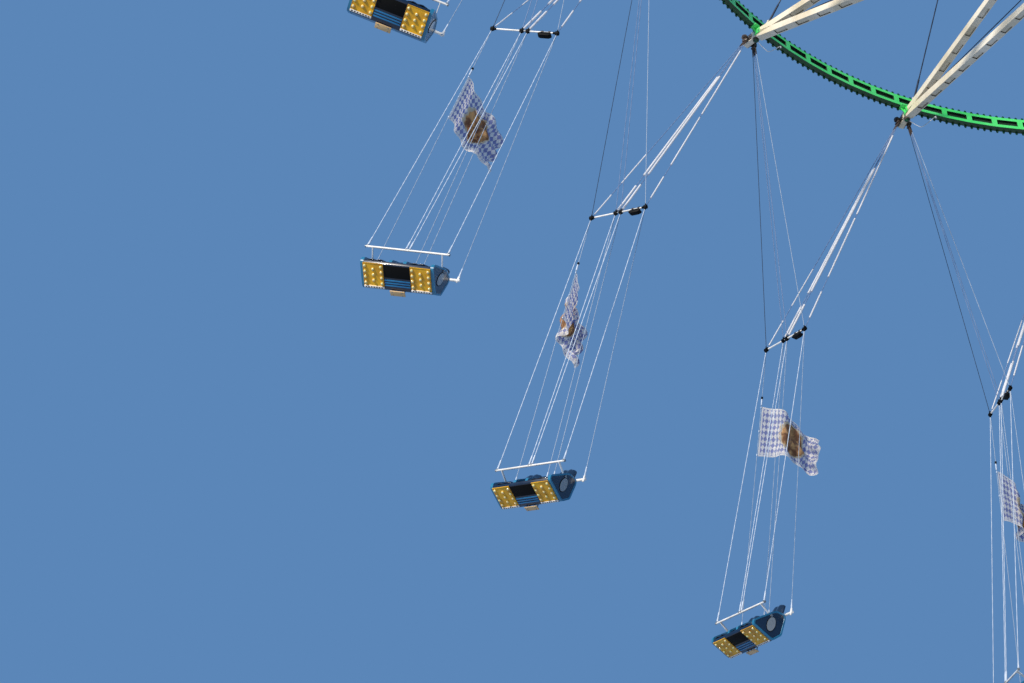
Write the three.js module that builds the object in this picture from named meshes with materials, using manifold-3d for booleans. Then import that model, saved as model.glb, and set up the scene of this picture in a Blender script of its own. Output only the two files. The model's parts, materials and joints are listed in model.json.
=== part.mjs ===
// A chair swing ride: a lattice mast on a cross of box girders, a carriage that a winch lifts
// along it, a rotor with sixteen arms and a ring of lamps, and sixteen double seats on ropes.
// Every length below is the real ride's, in millimetres. The model is half that size.
import * as THREE from 'three';
import { mergeVertices } from 'three/addons/utils/BufferGeometryUtils.js';
import Module from 'manifold-3d';

const wasm = await Module();
wasm.setup();
const { Manifold, Mesh: SolidMesh } = wasm;

const MODEL_SCALE = 0.5;
// Gap between pieces that touch, 0.4 mm in the model
const SEAT_GAP = 0.8;
// Running gap between a bearing's two halves, 0.5 mm in the model
const RUNNING_GAP = 1.0;
const X = new THREE.Vector3(1, 0, 0);
const Y = new THREE.Vector3(0, 1, 0);
const Z = new THREE.Vector3(0, 0, 1);

// Whole ride
const ARM_COUNT = 16;
const ARM_STEP = (2 * Math.PI) / ARM_COUNT;
const FIRST_ARM_ANGLE = THREE.MathUtils.degToRad(19.8);
const TIP_HEIGHT = 49900;
const TIP_RADIUS = 7680;
const RIDE_TOP = 60000;

// Mast
const MAST_HALF_WIDTH = 1000;
const LEG_WIDTH = 200;
const MAST_FOOT_HEIGHT = 560;
const MAST_BAY_HEIGHT = 3900;
const MAST_BAY_COUNT = 15;
const MAST_TOP = MAST_FOOT_HEIGHT + MAST_BAY_HEIGHT * MAST_BAY_COUNT;
const LATTICE_THICKNESS = 80;
const LATTICE_BAR = 110;
const HEAD_OVERHANG = 60;
const HEAD_PLATE_THICKNESS = 160;
const SHEAVE_CHEEKS = { length: 1400, width: 180, height: 900 };
const SHEAVE_BLOCK = { width: 840, height: 620 };
const BEACON_ROD_RADIUS = 60;

// Base
const GIRDER_REACH = 6800;
const GIRDER_WIDTH = 500;
const GIRDER_BOTTOM = 60;
const GIRDER_TOP = MAST_FOOT_HEIGHT - SEAT_GAP;
const PAD_WIDTH = 1100;
const BRACE_FOOT_RADIUS = 5600;
const BRACE_HEAD_HEIGHT = 6300;
const BRACE_WIDTH = 240;
const MAST_PLATE_HALF_WIDTH = MAST_HALF_WIDTH + 250;
const MAST_PLATE_BOTTOM = 160;
const WINCH = { length: 1700, width: 1400, height: 1350 };

// Carriage
const SLEEVE_HALF_WIDTH = 1220;
const SLEEVE_POST = 120;
const SLEEVE_BOTTOM = TIP_HEIGHT - 3700;
const SLEEVE_TOP = TIP_HEIGHT + 5900;
const FLANGE_RADIUS = 2250;
const FLANGE_THICKNESS = 140;
const FLANGE_BOTTOM = TIP_HEIGHT - 3400;
const GUIDE_BLOCK_HEIGHT = 260;
const GUIDE_BLOCK_WIDTH = 160;
const SLEW_MOTOR = { radius: 190, height: 900, distance: 1850 };

// Rotor
const CAGE_RADIUS = 1930;
const CAGE_BAR = 150;
const CAGE_POST_COUNT = 8;
const CAGE_POST_WIDTH = 100;
const CAGE_RACE_HEIGHT = 260;
const CAGE_RING_HEIGHT = 200;
const CAGE_CROWN_HEIGHT = 300;
const CAGE_TURN = FIRST_ARM_ANGLE + ARM_STEP / 2;
const RACE_BOTTOM = FLANGE_BOTTOM + FLANGE_THICKNESS + RUNNING_GAP;
const STAY_HEAD_HEIGHT = TIP_HEIGHT + 5330;
const CHORD_ROOT_HEIGHT = TIP_HEIGHT - 780;
const STRUT_ROOT_HEIGHT = TIP_HEIGHT - 2400;
const HUB_RIM_WIDTH = 130;
const HUB_RIM_HEIGHT = 180;
const ARM_ROOT_RADIUS = CAGE_RADIUS + CAGE_BAR;
const ARM_BEAM_WIDTH = 118;
const ARM_BEAM_DEPTH = 120;
const TIP_FITTING = { inward: 260, outward: 70, width: 90, height: 130 };
const STAY_DIAMETER = 44;
const LIGHT_RING_RADIUS = 7460;
const LIGHT_RING_HEIGHT = TIP_HEIGHT + 190;
const LIGHT_RING_WIDTH = 90;
const LIGHT_RING_DEPTH = 240;
const RING_FLATS_PER_BAY = 4;
const STAY_FOOT_RADIUS = LIGHT_RING_RADIUS - LIGHT_RING_WIDTH / 2 - 110;
const RING_BRACKET_WIDTH = 260;

// Hangers at the arm tips
const PIN_SIDES = 6;
const PIN_RADIUS = 24;
const PIN_HOLE_INNER_RADIUS = 25;
const PIN_REACH = 145;
const HANGER_INSET = 100;
const HANGER_WIDTH = 50;
const HANGER_SIZE = 96;
const HANGER_TAIL = 40;

// Swing: the upper ropes reach the spreader and the lower ropes reach the double seat
const UPPER_DROP = 4620;
const UPPER_LEAN = THREE.MathUtils.degToRad(22.24);
const LOWER_DROP = 4960;
const LOWER_LEAN = THREE.MathUtils.degToRad(23.14);
const SEAT_LAG = 100;
const ROPE_DIAMETER = 22;
const ROPE_SIDES = 3;
// A leaning rope's end face dips at one edge, so its middle stays a little higher
const ROPE_END_GAP = 2 * SEAT_GAP;
const HANGER_ROPE_PITCH = 28;
const SPREADER_REACH = 484;
const SPREADER_WIDTH = 50;
const SPREADER_BLOCK_WIDTH = 84;
const SPREADER_BLOCKS = [
  { at: -SPREADER_REACH, length: 70 },
  { at: 0, length: 160 },
  { at: SPREADER_REACH, length: 70 },
];
const MIDDLE_KNOB = 46;
const ROPE_BOX = { length: 200, width: 120, depth: 84, offset: -317 };
const FLAG = { width: 1150, height: 760, thickness: 16, start: 0.17 };

// Double seat, measured from the middle of the two lamp panels on its underside
const SEAT_PITCH = 606;
const SEAT_WIDTH = 1050;
const BUCKET_WIDTH = 444;
const WING_THICKNESS = 44;
const BAR_FORWARD = 76;
const BAR_RISE = 424;
const BAR_HALF_LENGTH = 602;
const BAR_WIDTH = 46;
const LUG_Y = -377;
const LUG_TOP = 460;
const LUG_OUTER = { x: 620, start: 500, end: 650 };
const LUG_MIDDLE = { x: 60, width: 220 };
const BAR_ARM = { y: -120, z: 300, width: 30 };
const BAR_ROPE_X = 580;

const paint = (color, roughness, metalness = 0) =>
  new THREE.MeshStandardMaterial({ color, roughness, metalness, flatShading: true });
const creamPaint = paint(0xe6e2d3, 0.45);
const greenPaint = paint(0x2fbf4f, 0.4);
const whitePaint = paint(0xf1f1ee, 0.4);
const galvanized = paint(0x9da3a6, 0.5, 0.7);
const steelGrey = paint(0x5b6166, 0.5, 0.3);
const seatBlue = paint(0x17365c, 0.35);

function vec(x, y, z) {
  return new THREE.Vector3(x, y, z);
}

function polar(radius, angle, height) {
  return vec(radius * Math.cos(angle), radius * Math.sin(angle), height);
}

function solidOf(geometry) {
  const bare = geometry.index ? geometry.toNonIndexed() : geometry.clone();
  bare.deleteAttribute('normal');
  bare.deleteAttribute('uv');
  const merged = mergeVertices(bare, 1e-3);
  const vertProperties = new Float32Array(merged.attributes.position.array);
  const triVerts = new Uint32Array(merged.index.array);
  return new Manifold(new SolidMesh({ numProp: 3, vertProperties, triVerts }));
}

function geometryOf(solid) {
  const { vertProperties, triVerts } = solid.getMesh();
  const geometry = new THREE.BufferGeometry();
  geometry.setAttribute('position', new THREE.BufferAttribute(new Float32Array(vertProperties), 3));
  geometry.setIndex(new THREE.BufferAttribute(new Uint32Array(triVerts), 1));
  geometry.computeVertexNormals();
  return geometry;
}

function fuse(solids) {
  return solids.reduce((whole, piece) => whole.add(piece));
}

// A frame whose third axis runs along the given direction and whose second axis is near up
function frameAlong(direction, up, origin) {
  const along = direction.clone().normalize();
  const side = up.clone().cross(along).normalize();
  const top = along.clone().cross(side);
  return new THREE.Matrix4().makeBasis(side, top, along).setPosition(origin);
}

function beam(start, end, width, depth, up = Z) {
  const run = end.clone().sub(start);
  const middle = start.clone().add(end).multiplyScalar(0.5);
  const geometry = new THREE.BoxGeometry(width, depth, run.length());
  return solidOf(geometry.applyMatrix4(frameAlong(run, up, middle)));
}

function rod(start, end, radius, sides, up = X) {
  const run = end.clone().sub(start);
  const middle = start.clone().add(end).multiplyScalar(0.5);
  const geometry = new THREE.CylinderGeometry(radius, radius, run.length(), sides, 1);
  geometry.rotateX(Math.PI / 2);
  return solidOf(geometry.applyMatrix4(frameAlong(run, up, middle)));
}

function box(low, high) {
  const size = high.clone().sub(low);
  const middle = low.clone().add(high).multiplyScalar(0.5);
  const geometry = new THREE.BoxGeometry(size.x, size.y, size.z);
  return solidOf(geometry.translate(middle.x, middle.y, middle.z));
}

function boxOnAxis(length, width, bottom, top) {
  return box(vec(-length / 2, -width / 2, bottom), vec(length / 2, width / 2, top));
}

// A flat outline in X and Y with straight holes, raised from one height to another
function plate(outline, holes, bottom, top) {
  const shape = new THREE.Shape(outline);
  holes.forEach((hole) => shape.holes.push(new THREE.Path(hole)));
  const geometry = new THREE.ExtrudeGeometry(shape, { depth: top - bottom, bevelEnabled: false });
  return geometry.translate(0, 0, bottom);
}

function polygon(radius, count, turn = 0) {
  const points = [];
  for (let i = 0; i < count; i += 1) {
    const angle = turn + (2 * Math.PI * i) / count;
    points.push(new THREE.Vector2(radius * Math.cos(angle), radius * Math.sin(angle)));
  }
  return points;
}

function square(halfWidth) {
  return polygon(halfWidth * Math.SQRT2, 4, Math.PI / 4);
}

// Part of a many-sided ring of box section between two angles
function ringArc(radius, width, bottom, top, startAngle, endAngle, flats) {
  const inner = [];
  const outer = [];
  for (let i = 0; i <= flats; i += 1) {
    const angle = startAngle + ((endAngle - startAngle) * i) / flats;
    const direction = new THREE.Vector2(Math.cos(angle), Math.sin(angle));
    outer.push(direction.clone().multiplyScalar(radius + width / 2));
    inner.unshift(direction.clone().multiplyScalar(radius - width / 2));
  }
  return solidOf(plate([...outer, ...inner], [], bottom, top));
}

const ride = new THREE.Group();
ride.scale.setScalar(MODEL_SCALE);

function addPiece(parent, name, geometry, material) {
  const mesh = new THREE.Mesh(geometry, material);
  mesh.name = name;
  parent.add(mesh);
  return mesh;
}

// Mast: four like sides, each one corner leg with the lattice that reaches to the next leg
function mastLatticeHoles() {
  const inner = MAST_HALF_WIDTH - LEG_WIDTH;
  const edge = LATTICE_BAR / 2;
  const holes = [];
  for (let bay = 0; bay < MAST_BAY_COUNT; bay += 1) {
    const low = bay * MAST_BAY_HEIGHT + edge;
    const high = (bay + 1) * MAST_BAY_HEIGHT - edge;
    const left = -inner + edge;
    const right = inner - edge;
    const lean = bay % 2 === 0 ? 1 : -1;
    const slack = LATTICE_BAR * 1.1;
    holes.push([
      new THREE.Vector2(lean * left, low + slack),
      new THREE.Vector2(lean * (right - slack / 2), high),
      new THREE.Vector2(lean * left, high),
    ]);
    holes.push([
      new THREE.Vector2(lean * (left + slack / 2), low),
      new THREE.Vector2(lean * right, low),
      new THREE.Vector2(lean * right, high - slack),
    ]);
  }
  return holes;
}

function mastSide() {
  const inner = MAST_HALF_WIDTH - LEG_WIDTH;
  const height = MAST_TOP - MAST_FOOT_HEIGHT;
  const outline = [
    new THREE.Vector2(-inner - LEG_WIDTH / 4, 0),
    new THREE.Vector2(inner - SEAT_GAP, 0),
    new THREE.Vector2(inner - SEAT_GAP, height),
    new THREE.Vector2(-inner - LEG_WIDTH / 4, height),
  ];
  const face = plate(outline, mastLatticeHoles(), -LATTICE_THICKNESS / 2, LATTICE_THICKNESS / 2);
  face.rotateX(Math.PI / 2);
  face.translate(0, -MAST_HALF_WIDTH + LEG_WIDTH / 2, MAST_FOOT_HEIGHT);
  const leg = box(
    vec(-MAST_HALF_WIDTH, -MAST_HALF_WIDTH, MAST_FOOT_HEIGHT),
    vec(-inner, -inner, MAST_TOP),
  );
  return geometryOf(leg.add(solidOf(face)));
}

function buildMast() {
  const mast = new THREE.Group();
  const geometry = mastSide();
  ['front', 'right', 'back', 'left'].forEach((side, index) => {
    const piece = addPiece(mast, `mast_side_${side}`, geometry, galvanized);
    piece.rotation.z = (index * Math.PI) / 2;
  });
  const headBottom = MAST_TOP + SEAT_GAP;
  const plateTop = headBottom + HEAD_PLATE_THICKNESS;
  const inPlate = plateTop - HEAD_PLATE_THICKNESS / 2;
  const head = fuse([
    solidOf(plate(square(MAST_HALF_WIDTH + HEAD_OVERHANG), [], headBottom, plateTop)),
    boxOnAxis(SHEAVE_CHEEKS.length, SHEAVE_CHEEKS.width, inPlate, headBottom + SHEAVE_CHEEKS.height),
    boxOnAxis(SHEAVE_BLOCK.width, SHEAVE_BLOCK.width, inPlate, headBottom + SHEAVE_BLOCK.height),
    rod(vec(0, 0, inPlate), vec(0, 0, RIDE_TOP), BEACON_ROD_RADIUS, 8),
  ]);
  addPiece(mast, 'mast_head', geometryOf(head), steelGrey);
  return mast;
}

// Base: two crossed girders with foot pads, and a brace from each girder to its mast leg
function girder(angle) {
  const along = polar(1, angle, 0);
  const middleHeight = (GIRDER_BOTTOM + GIRDER_TOP) / 2;
  const start = along.clone().multiplyScalar(-GIRDER_REACH).setZ(middleHeight);
  const end = along.clone().multiplyScalar(GIRDER_REACH).setZ(middleHeight);
  return beam(start, end, GIRDER_WIDTH, GIRDER_TOP - GIRDER_BOTTOM);
}

function footPad(angle) {
  const centre = polar(GIRDER_REACH - PAD_WIDTH / 2, angle, 0);
  const geometry = plate(square(PAD_WIDTH / 2), [], 0, GIRDER_BOTTOM + 20);
  geometry.rotateZ(angle);
  return solidOf(geometry.translate(centre.x, centre.y, 0));
}

function brace(angle) {
  const foot = polar(BRACE_FOOT_RADIUS, angle, GIRDER_TOP + SEAT_GAP);
  const head = polar((MAST_HALF_WIDTH - LEG_WIDTH / 2) * Math.SQRT2, angle, BRACE_HEAD_HEIGHT);
  const run = head.clone().sub(foot).normalize();
  const start = foot.clone().addScaledVector(run, -2 * BRACE_WIDTH);
  const whole = beam(start, head, BRACE_WIDTH, BRACE_WIDTH);
  const reach = GIRDER_REACH * 2;
  const ground = box(vec(-reach, -reach, -reach), vec(reach, reach, GIRDER_TOP + SEAT_GAP));
  const mastCore = MAST_HALF_WIDTH + SEAT_GAP;
  const mastRoom = box(vec(-mastCore, -mastCore, 0), vec(mastCore, mastCore, MAST_TOP));
  return geometryOf(whole.subtract(ground).subtract(mastRoom));
}

function buildBase() {
  const base = new THREE.Group();
  const corners = [0, 1, 2, 3].map((index) => Math.PI / 4 + (index * Math.PI) / 2);
  const cross = fuse([
    girder(corners[0]),
    girder(corners[1]),
    ...corners.map(footPad),
    solidOf(plate(square(MAST_PLATE_HALF_WIDTH), [], MAST_PLATE_BOTTOM, GIRDER_TOP)),
  ]);
  addPiece(base, 'base_cross', geometryOf(cross), steelGrey);
  corners.forEach((angle, index) => {
    addPiece(base, `mast_brace_${index + 1}`, brace(angle), galvanized);
  });
  const winchStart = MAST_PLATE_HALF_WIDTH + SEAT_GAP;
  const winch = box(
    vec(winchStart, -WINCH.width / 2, 0),
    vec(winchStart + WINCH.length, WINCH.width / 2, WINCH.height),
  );
  addPiece(base, 'winch_housing', geometryOf(winch), steelGrey);
  return base;
}

// Carriage: a square sleeve around the mast, guide blocks on the legs, and the bearing flange
function sleeveRing(height) {
  const inner = SLEEVE_HALF_WIDTH - SLEEVE_POST;
  const hole = square(inner).reverse();
  return solidOf(plate(square(SLEEVE_HALF_WIDTH), [hole], height, height + SLEEVE_POST));
}

function guideBlocks(height) {
  const reach = MAST_HALF_WIDTH + SEAT_GAP;
  const outer = SLEEVE_HALF_WIDTH - SLEEVE_POST / 4;
  const blocks = [];
  [0, 1, 2, 3].forEach((index) => {
    [-1, 1].forEach((side) => {
      const middle = side * (MAST_HALF_WIDTH - LEG_WIDTH / 2);
      const geometry = new THREE.BoxGeometry(outer - reach, GUIDE_BLOCK_WIDTH, GUIDE_BLOCK_HEIGHT);
      geometry.translate((outer + reach) / 2, middle, height);
      blocks.push(solidOf(geometry.rotateZ((index * Math.PI) / 2)));
    });
  });
  return blocks;
}

function buildCarriage() {
  const carriage = new THREE.Group();
  const corner = SLEEVE_HALF_WIDTH - SLEEVE_POST / 2;
  const span = SLEEVE_TOP - SLEEVE_BOTTOM - SLEEVE_POST;
  const levels = [0, 1, 2, 3].map((step) => SLEEVE_BOTTOM + (span * step) / 3);
  const pieces = levels.map(sleeveRing);
  [[1, 1], [-1, 1], [-1, -1], [1, -1]].forEach(([sx, sy]) => {
    const foot = vec(sx * corner, sy * corner, SLEEVE_BOTTOM);
    pieces.push(beam(foot, foot.clone().setZ(SLEEVE_TOP), SLEEVE_POST, SLEEVE_POST, X));
  });
  const blockRise = SLEEVE_POST / 2;
  pieces.push(...guideBlocks(levels[0] + blockRise), ...guideBlocks(levels[3] + blockRise));
  const flangeTop = FLANGE_BOTTOM + FLANGE_THICKNESS;
  const sleeveRoom = square(SLEEVE_HALF_WIDTH - SLEEVE_POST).reverse();
  pieces.push(solidOf(plate(polygon(FLANGE_RADIUS, 32), [sleeveRoom], FLANGE_BOTTOM, flangeTop)));
  addPiece(carriage, 'carriage_sleeve', geometryOf(fuse(pieces)), steelGrey);
  [0, 1].forEach((index) => {
    const top = polar(SLEW_MOTOR.distance, index * Math.PI, FLANGE_BOTTOM - SEAT_GAP);
    const bottom = top.clone().setZ(top.z - SLEW_MOTOR.height);
    const motor = rod(bottom, top, SLEW_MOTOR.radius, 12);
    addPiece(carriage, `slew_motor_${index + 1}`, geometryOf(motor), steelGrey);
  });
  return carriage;
}

// Rotor: the turning cage, four quadrants of arms with their stays, and the ring of lamps
function cageRing(bottom, height) {
  const outline = polygon(CAGE_RADIUS + CAGE_BAR / 2, ARM_COUNT, CAGE_TURN);
  const hole = polygon(CAGE_RADIUS - CAGE_BAR / 2, ARM_COUNT, CAGE_TURN).reverse();
  return solidOf(plate(outline, [hole], bottom, bottom + height));
}

function turningCage() {
  const top = STAY_HEAD_HEIGHT + CAGE_CROWN_HEIGHT / 2;
  const pieces = [
    cageRing(RACE_BOTTOM, CAGE_RACE_HEIGHT),
    cageRing(STRUT_ROOT_HEIGHT - CAGE_RING_HEIGHT / 2, CAGE_RING_HEIGHT),
    cageRing(CHORD_ROOT_HEIGHT - CAGE_RING_HEIGHT / 2, CAGE_RING_HEIGHT),
    cageRing(top - CAGE_CROWN_HEIGHT, CAGE_CROWN_HEIGHT),
  ];
  for (let i = 0; i < CAGE_POST_COUNT; i += 1) {
    const angle = CAGE_TURN + (2 * Math.PI * i) / CAGE_POST_COUNT;
    const foot = polar(CAGE_RADIUS, angle, RACE_BOTTOM + CAGE_RACE_HEIGHT / 2);
    const head = foot.clone().setZ(top - CAGE_CROWN_HEIGHT / 2);
    pieces.push(beam(foot, head, CAGE_POST_WIDTH, CAGE_POST_WIDTH, polar(1, angle, 0)));
  }
  return geometryOf(fuse(pieces));
}

// Each tip carries four pins: two for the swing on either side, along that swing's own axis
function hingeDirection(swingAngle) {
  return polar(1, swingAngle + Math.PI / 2, 0);
}

function armTip(angle) {
  const centre = polar(TIP_RADIUS, angle, TIP_HEIGHT);
  const along = polar(1, angle, 0);
  const pieces = [beam(
    centre.clone().addScaledVector(along, -TIP_FITTING.inward),
    centre.clone().addScaledVector(along, TIP_FITTING.outward),
    TIP_FITTING.width,
    TIP_FITTING.height,
  )];
  [-1, 1].forEach((side) => {
    const axis = hingeDirection(angle + (side * ARM_STEP) / 2).multiplyScalar(side);
    const pinEnd = centre.clone().addScaledVector(axis, PIN_REACH);
    pieces.push(rod(centre, pinEnd, PIN_RADIUS, PIN_SIDES, Z));
  });
  return pieces;
}

function arm(angle) {
  const chordRoot = polar(ARM_ROOT_RADIUS, angle, CHORD_ROOT_HEIGHT);
  const chordTip = polar(TIP_RADIUS - ARM_BEAM_DEPTH, angle, TIP_HEIGHT);
  const strutRoot = polar(ARM_ROOT_RADIUS, angle, STRUT_ROOT_HEIGHT);
  const strutTip = polar(TIP_RADIUS - TIP_FITTING.inward * 0.9, angle, TIP_HEIGHT - ARM_BEAM_DEPTH / 2);
  return [
    beam(chordRoot, chordTip, ARM_BEAM_WIDTH, ARM_BEAM_DEPTH),
    beam(strutRoot, strutTip, ARM_BEAM_WIDTH, ARM_BEAM_DEPTH),
    rod(
      polar(ARM_ROOT_RADIUS, angle, STAY_HEAD_HEIGHT),
      polar(STAY_FOOT_RADIUS, angle, TIP_HEIGHT),
      STAY_DIAMETER / 2,
      4,
      polar(1, angle + Math.PI / 2, 0),
    ),
    ringBracket(angle),
    ...armTip(angle),
  ];
}

// The saddle on each arm that the ring of lamps rests on
function ringBracket(angle) {
  const inner = polar(LIGHT_RING_RADIUS - LIGHT_RING_WIDTH / 2 - 40, angle, 0);
  const outer = polar(LIGHT_RING_RADIUS + LIGHT_RING_WIDTH / 2, angle, 0);
  const top = LIGHT_RING_HEIGHT - LIGHT_RING_DEPTH / 2 - SEAT_GAP;
  const depth = top - TIP_HEIGHT;
  const height = TIP_HEIGHT + depth / 2;
  return beam(inner.setZ(height), outer.setZ(height), RING_BRACKET_WIDTH, depth);
}

function armQuadrant(firstArm) {
  const pieces = [];
  const start = FIRST_ARM_ANGLE + (firstArm - 0.5) * ARM_STEP;
  const hubRadius = CAGE_RADIUS + (CAGE_BAR + HUB_RIM_WIDTH) / 2 + SEAT_GAP;
  const inset = SEAT_GAP / hubRadius;
  const end = start + 4 * ARM_STEP - inset;
  [CHORD_ROOT_HEIGHT, STRUT_ROOT_HEIGHT, STAY_HEAD_HEIGHT].forEach((height) => {
    const bottom = height - HUB_RIM_HEIGHT / 2;
    pieces.push(ringArc(hubRadius, HUB_RIM_WIDTH, bottom, bottom + HUB_RIM_HEIGHT, start + inset, end, 4));
  });
  for (let i = 0; i < 4; i += 1) {
    pieces.push(...arm(FIRST_ARM_ANGLE + (firstArm + i) * ARM_STEP));
  }
  return geometryOf(fuse(pieces));
}

function lightRing(firstArm) {
  const inset = SEAT_GAP / LIGHT_RING_RADIUS;
  const start = FIRST_ARM_ANGLE + (firstArm - 0.5) * ARM_STEP + inset;
  const end = FIRST_ARM_ANGLE + (firstArm + 3.5) * ARM_STEP - inset;
  const bottom = LIGHT_RING_HEIGHT - LIGHT_RING_DEPTH / 2;
  const top = bottom + LIGHT_RING_DEPTH;
  return ringArc(LIGHT_RING_RADIUS, LIGHT_RING_WIDTH, bottom, top, start, end, 4 * RING_FLATS_PER_BAY);
}

function buildRotor() {
  const rotor = new THREE.Group();
  addPiece(rotor, 'turning_cage', turningCage(), creamPaint);
  for (let quadrant = 0; quadrant < 4; quadrant += 1) {
    addPiece(rotor, `arm_quadrant_${quadrant + 1}`, armQuadrant(4 * quadrant), creamPaint);
    addPiece(rotor, `light_ring_${quadrant + 1}`, geometryOf(lightRing(4 * quadrant)), greenPaint);
  }
  return rotor;
}

// Swing: hangers on the tip pins, upper ropes, spreader bar, lower ropes and a pennant,
// drawn with X outward, Y the way the riders face and Z up
const HALF_CHORD = TIP_RADIUS * Math.sin(ARM_STEP / 2);
const HINGE_RADIUS = TIP_RADIUS * Math.cos(ARM_STEP / 2);
const SPREADER_CENTRE = vec(
  HINGE_RADIUS + UPPER_DROP * Math.sin(UPPER_LEAN),
  0,
  TIP_HEIGHT - UPPER_DROP * Math.cos(UPPER_LEAN),
);
const SPREADER_AXIS = vec(Math.cos(UPPER_LEAN), 0, Math.sin(UPPER_LEAN));
const SEAT_ORIGIN = SPREADER_CENTRE.clone().add(
  vec(LOWER_DROP * Math.sin(LOWER_LEAN), -SEAT_LAG, -LOWER_DROP * Math.cos(LOWER_LEAN)),
);
const SEAT_OUTWARD = vec(Math.cos(LOWER_LEAN), 0, Math.sin(LOWER_LEAN));
const SEAT_UP = SPREADER_CENTRE.clone().sub(SEAT_ORIGIN).normalize();
const SEAT_FORWARD = SEAT_UP.clone().cross(SEAT_OUTWARD);
const SEAT_FRAME = new THREE.Matrix4()
  .makeBasis(SEAT_OUTWARD, SEAT_FORWARD, SEAT_UP)
  .setPosition(SEAT_ORIGIN);

// Rope ends in the seat's own frame, from the inner side outward: on the lap bar in front,
// and on lugs beside the two backs behind
const BAR_ROPE_ENDS = [-BAR_ROPE_X, 0, BAR_ROPE_X];
const FRONT_ENDS = BAR_ROPE_ENDS.map((x) => vec(x, BAR_FORWARD, BAR_RISE + BAR_WIDTH / 2));
const LUG_PLACES = [-LUG_OUTER.x, -LUG_MIDDLE.x, LUG_MIDDLE.x, LUG_OUTER.x];
const REAR_ENDS = LUG_PLACES.map((x) => vec(x, LUG_Y, LUG_TOP));
const REAR_STARTS = [-SPREADER_REACH, -MIDDLE_KNOB, MIDDLE_KNOB, SPREADER_REACH];

function knobAt(offset) {
  return SPREADER_CENTRE.clone().addScaledVector(SPREADER_AXIS, offset);
}

function seatPoint(point) {
  return point.clone().applyMatrix4(SEAT_FRAME);
}

function hanger(side) {
  const half = HANGER_SIZE / 2;
  const holeRadius = PIN_HOLE_INNER_RADIUS / Math.cos(Math.PI / PIN_SIDES);
  const hole = polygon(holeRadius, PIN_SIDES).reverse();
  const foot = -half - HANGER_TAIL;
  const outline = [[-half, foot], [half, foot], [half, half], [-half, half]];
  const points = outline.map(([x, y]) => new THREE.Vector2(x, y));
  const geometry = plate(points, [hole], -HANGER_WIDTH / 2, HANGER_WIDTH / 2);
  geometry.rotateX(Math.PI / 2);
  return solidOf(geometry.translate(HINGE_RADIUS, side * (HALF_CHORD - HANGER_INSET), TIP_HEIGHT));
}

function ropeBetween(start, end) {
  return rod(start, end, ROPE_DIAMETER / 2, ROPE_SIDES);
}

function upperRope(side, index) {
  const across = (index - 1) * HANGER_ROPE_PITCH;
  const height = TIP_HEIGHT - HANGER_SIZE / 2 - HANGER_TAIL / 2;
  const top = vec(HINGE_RADIUS + across, side * (HALF_CHORD - HANGER_INSET), height);
  return ropeBetween(top, knobAt(SPREADER_BLOCKS[index].at));
}

function lowerRope(knob, seatEnd) {
  const start = knobAt(knob);
  const end = seatPoint(seatEnd);
  const run = end.clone().sub(start).normalize();
  return ropeBetween(start, end.addScaledVector(run, -ROPE_END_GAP));
}

function pennant() {
  const start = knobAt(SPREADER_REACH);
  const end = seatPoint(REAR_ENDS[3]);
  const hoistTop = start.clone().lerp(end, FLAG.start);
  const run = end.clone().sub(start).normalize();
  const hoistMiddle = hoistTop.addScaledVector(run, FLAG.height / 2);
  const fly = run.clone().cross(SEAT_OUTWARD).normalize();
  const flyEnd = hoistMiddle.clone().addScaledVector(fly, FLAG.width);
  return beam(hoistMiddle, flyEnd, FLAG.thickness, FLAG.height, run);
}

function suspension() {
  const pieces = [hanger(-1), hanger(1)];
  SPREADER_BLOCKS.forEach(({ at, length }, index) => {
    pieces.push(upperRope(-1, index), upperRope(1, index));
    pieces.push(lowerRope(at, FRONT_ENDS[index]));
    const blockStart = knobAt(at - length / 2);
    const blockEnd = knobAt(at + length / 2);
    pieces.push(beam(blockStart, blockEnd, SPREADER_BLOCK_WIDTH, SPREADER_BLOCK_WIDTH));
  });
  REAR_STARTS.forEach((knob, index) => pieces.push(lowerRope(knob, REAR_ENDS[index])));
  const barStart = knobAt(-SPREADER_REACH);
  pieces.push(beam(barStart, knobAt(SPREADER_REACH), SPREADER_WIDTH, SPREADER_WIDTH));
  const half = ROPE_BOX.length / 2;
  const boxStart = knobAt(ROPE_BOX.offset - half);
  pieces.push(beam(boxStart, knobAt(ROPE_BOX.offset + half), ROPE_BOX.width, ROPE_BOX.depth));
  pieces.push(pennant());
  return geometryOf(fuse(pieces));
}

// A side outline in Y and Z of the seat's frame, carried across the seat from one X to another
function acrossSeat(outline, startX, endX) {
  const points = outline.map(([y, z]) => new THREE.Vector2(y, z));
  const geometry = plate(points, [], startX, endX);
  return solidOf(geometry.applyMatrix4(new THREE.Matrix4().makeBasis(Y, Z, X)));
}

// Side outlines in Y and Z of the seat's frame: the underside slopes down to the rear
const TUB_SIDE = [[165, 100], [154, 54], [-154, -54], [-205, -56], [-330, 60]];
const BACK_SIDE = [[-285, 22], [-200, 0], [-330, 600], [-400, 600]];
const WING_SIDE = [[150, 80], [150, 150], [-190, 400], [-350, 400], [-215, -50]];
const LUG_SIDE = [[-410, 400], [-350, 400], [-350, LUG_TOP], [-410, LUG_TOP]];

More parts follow.
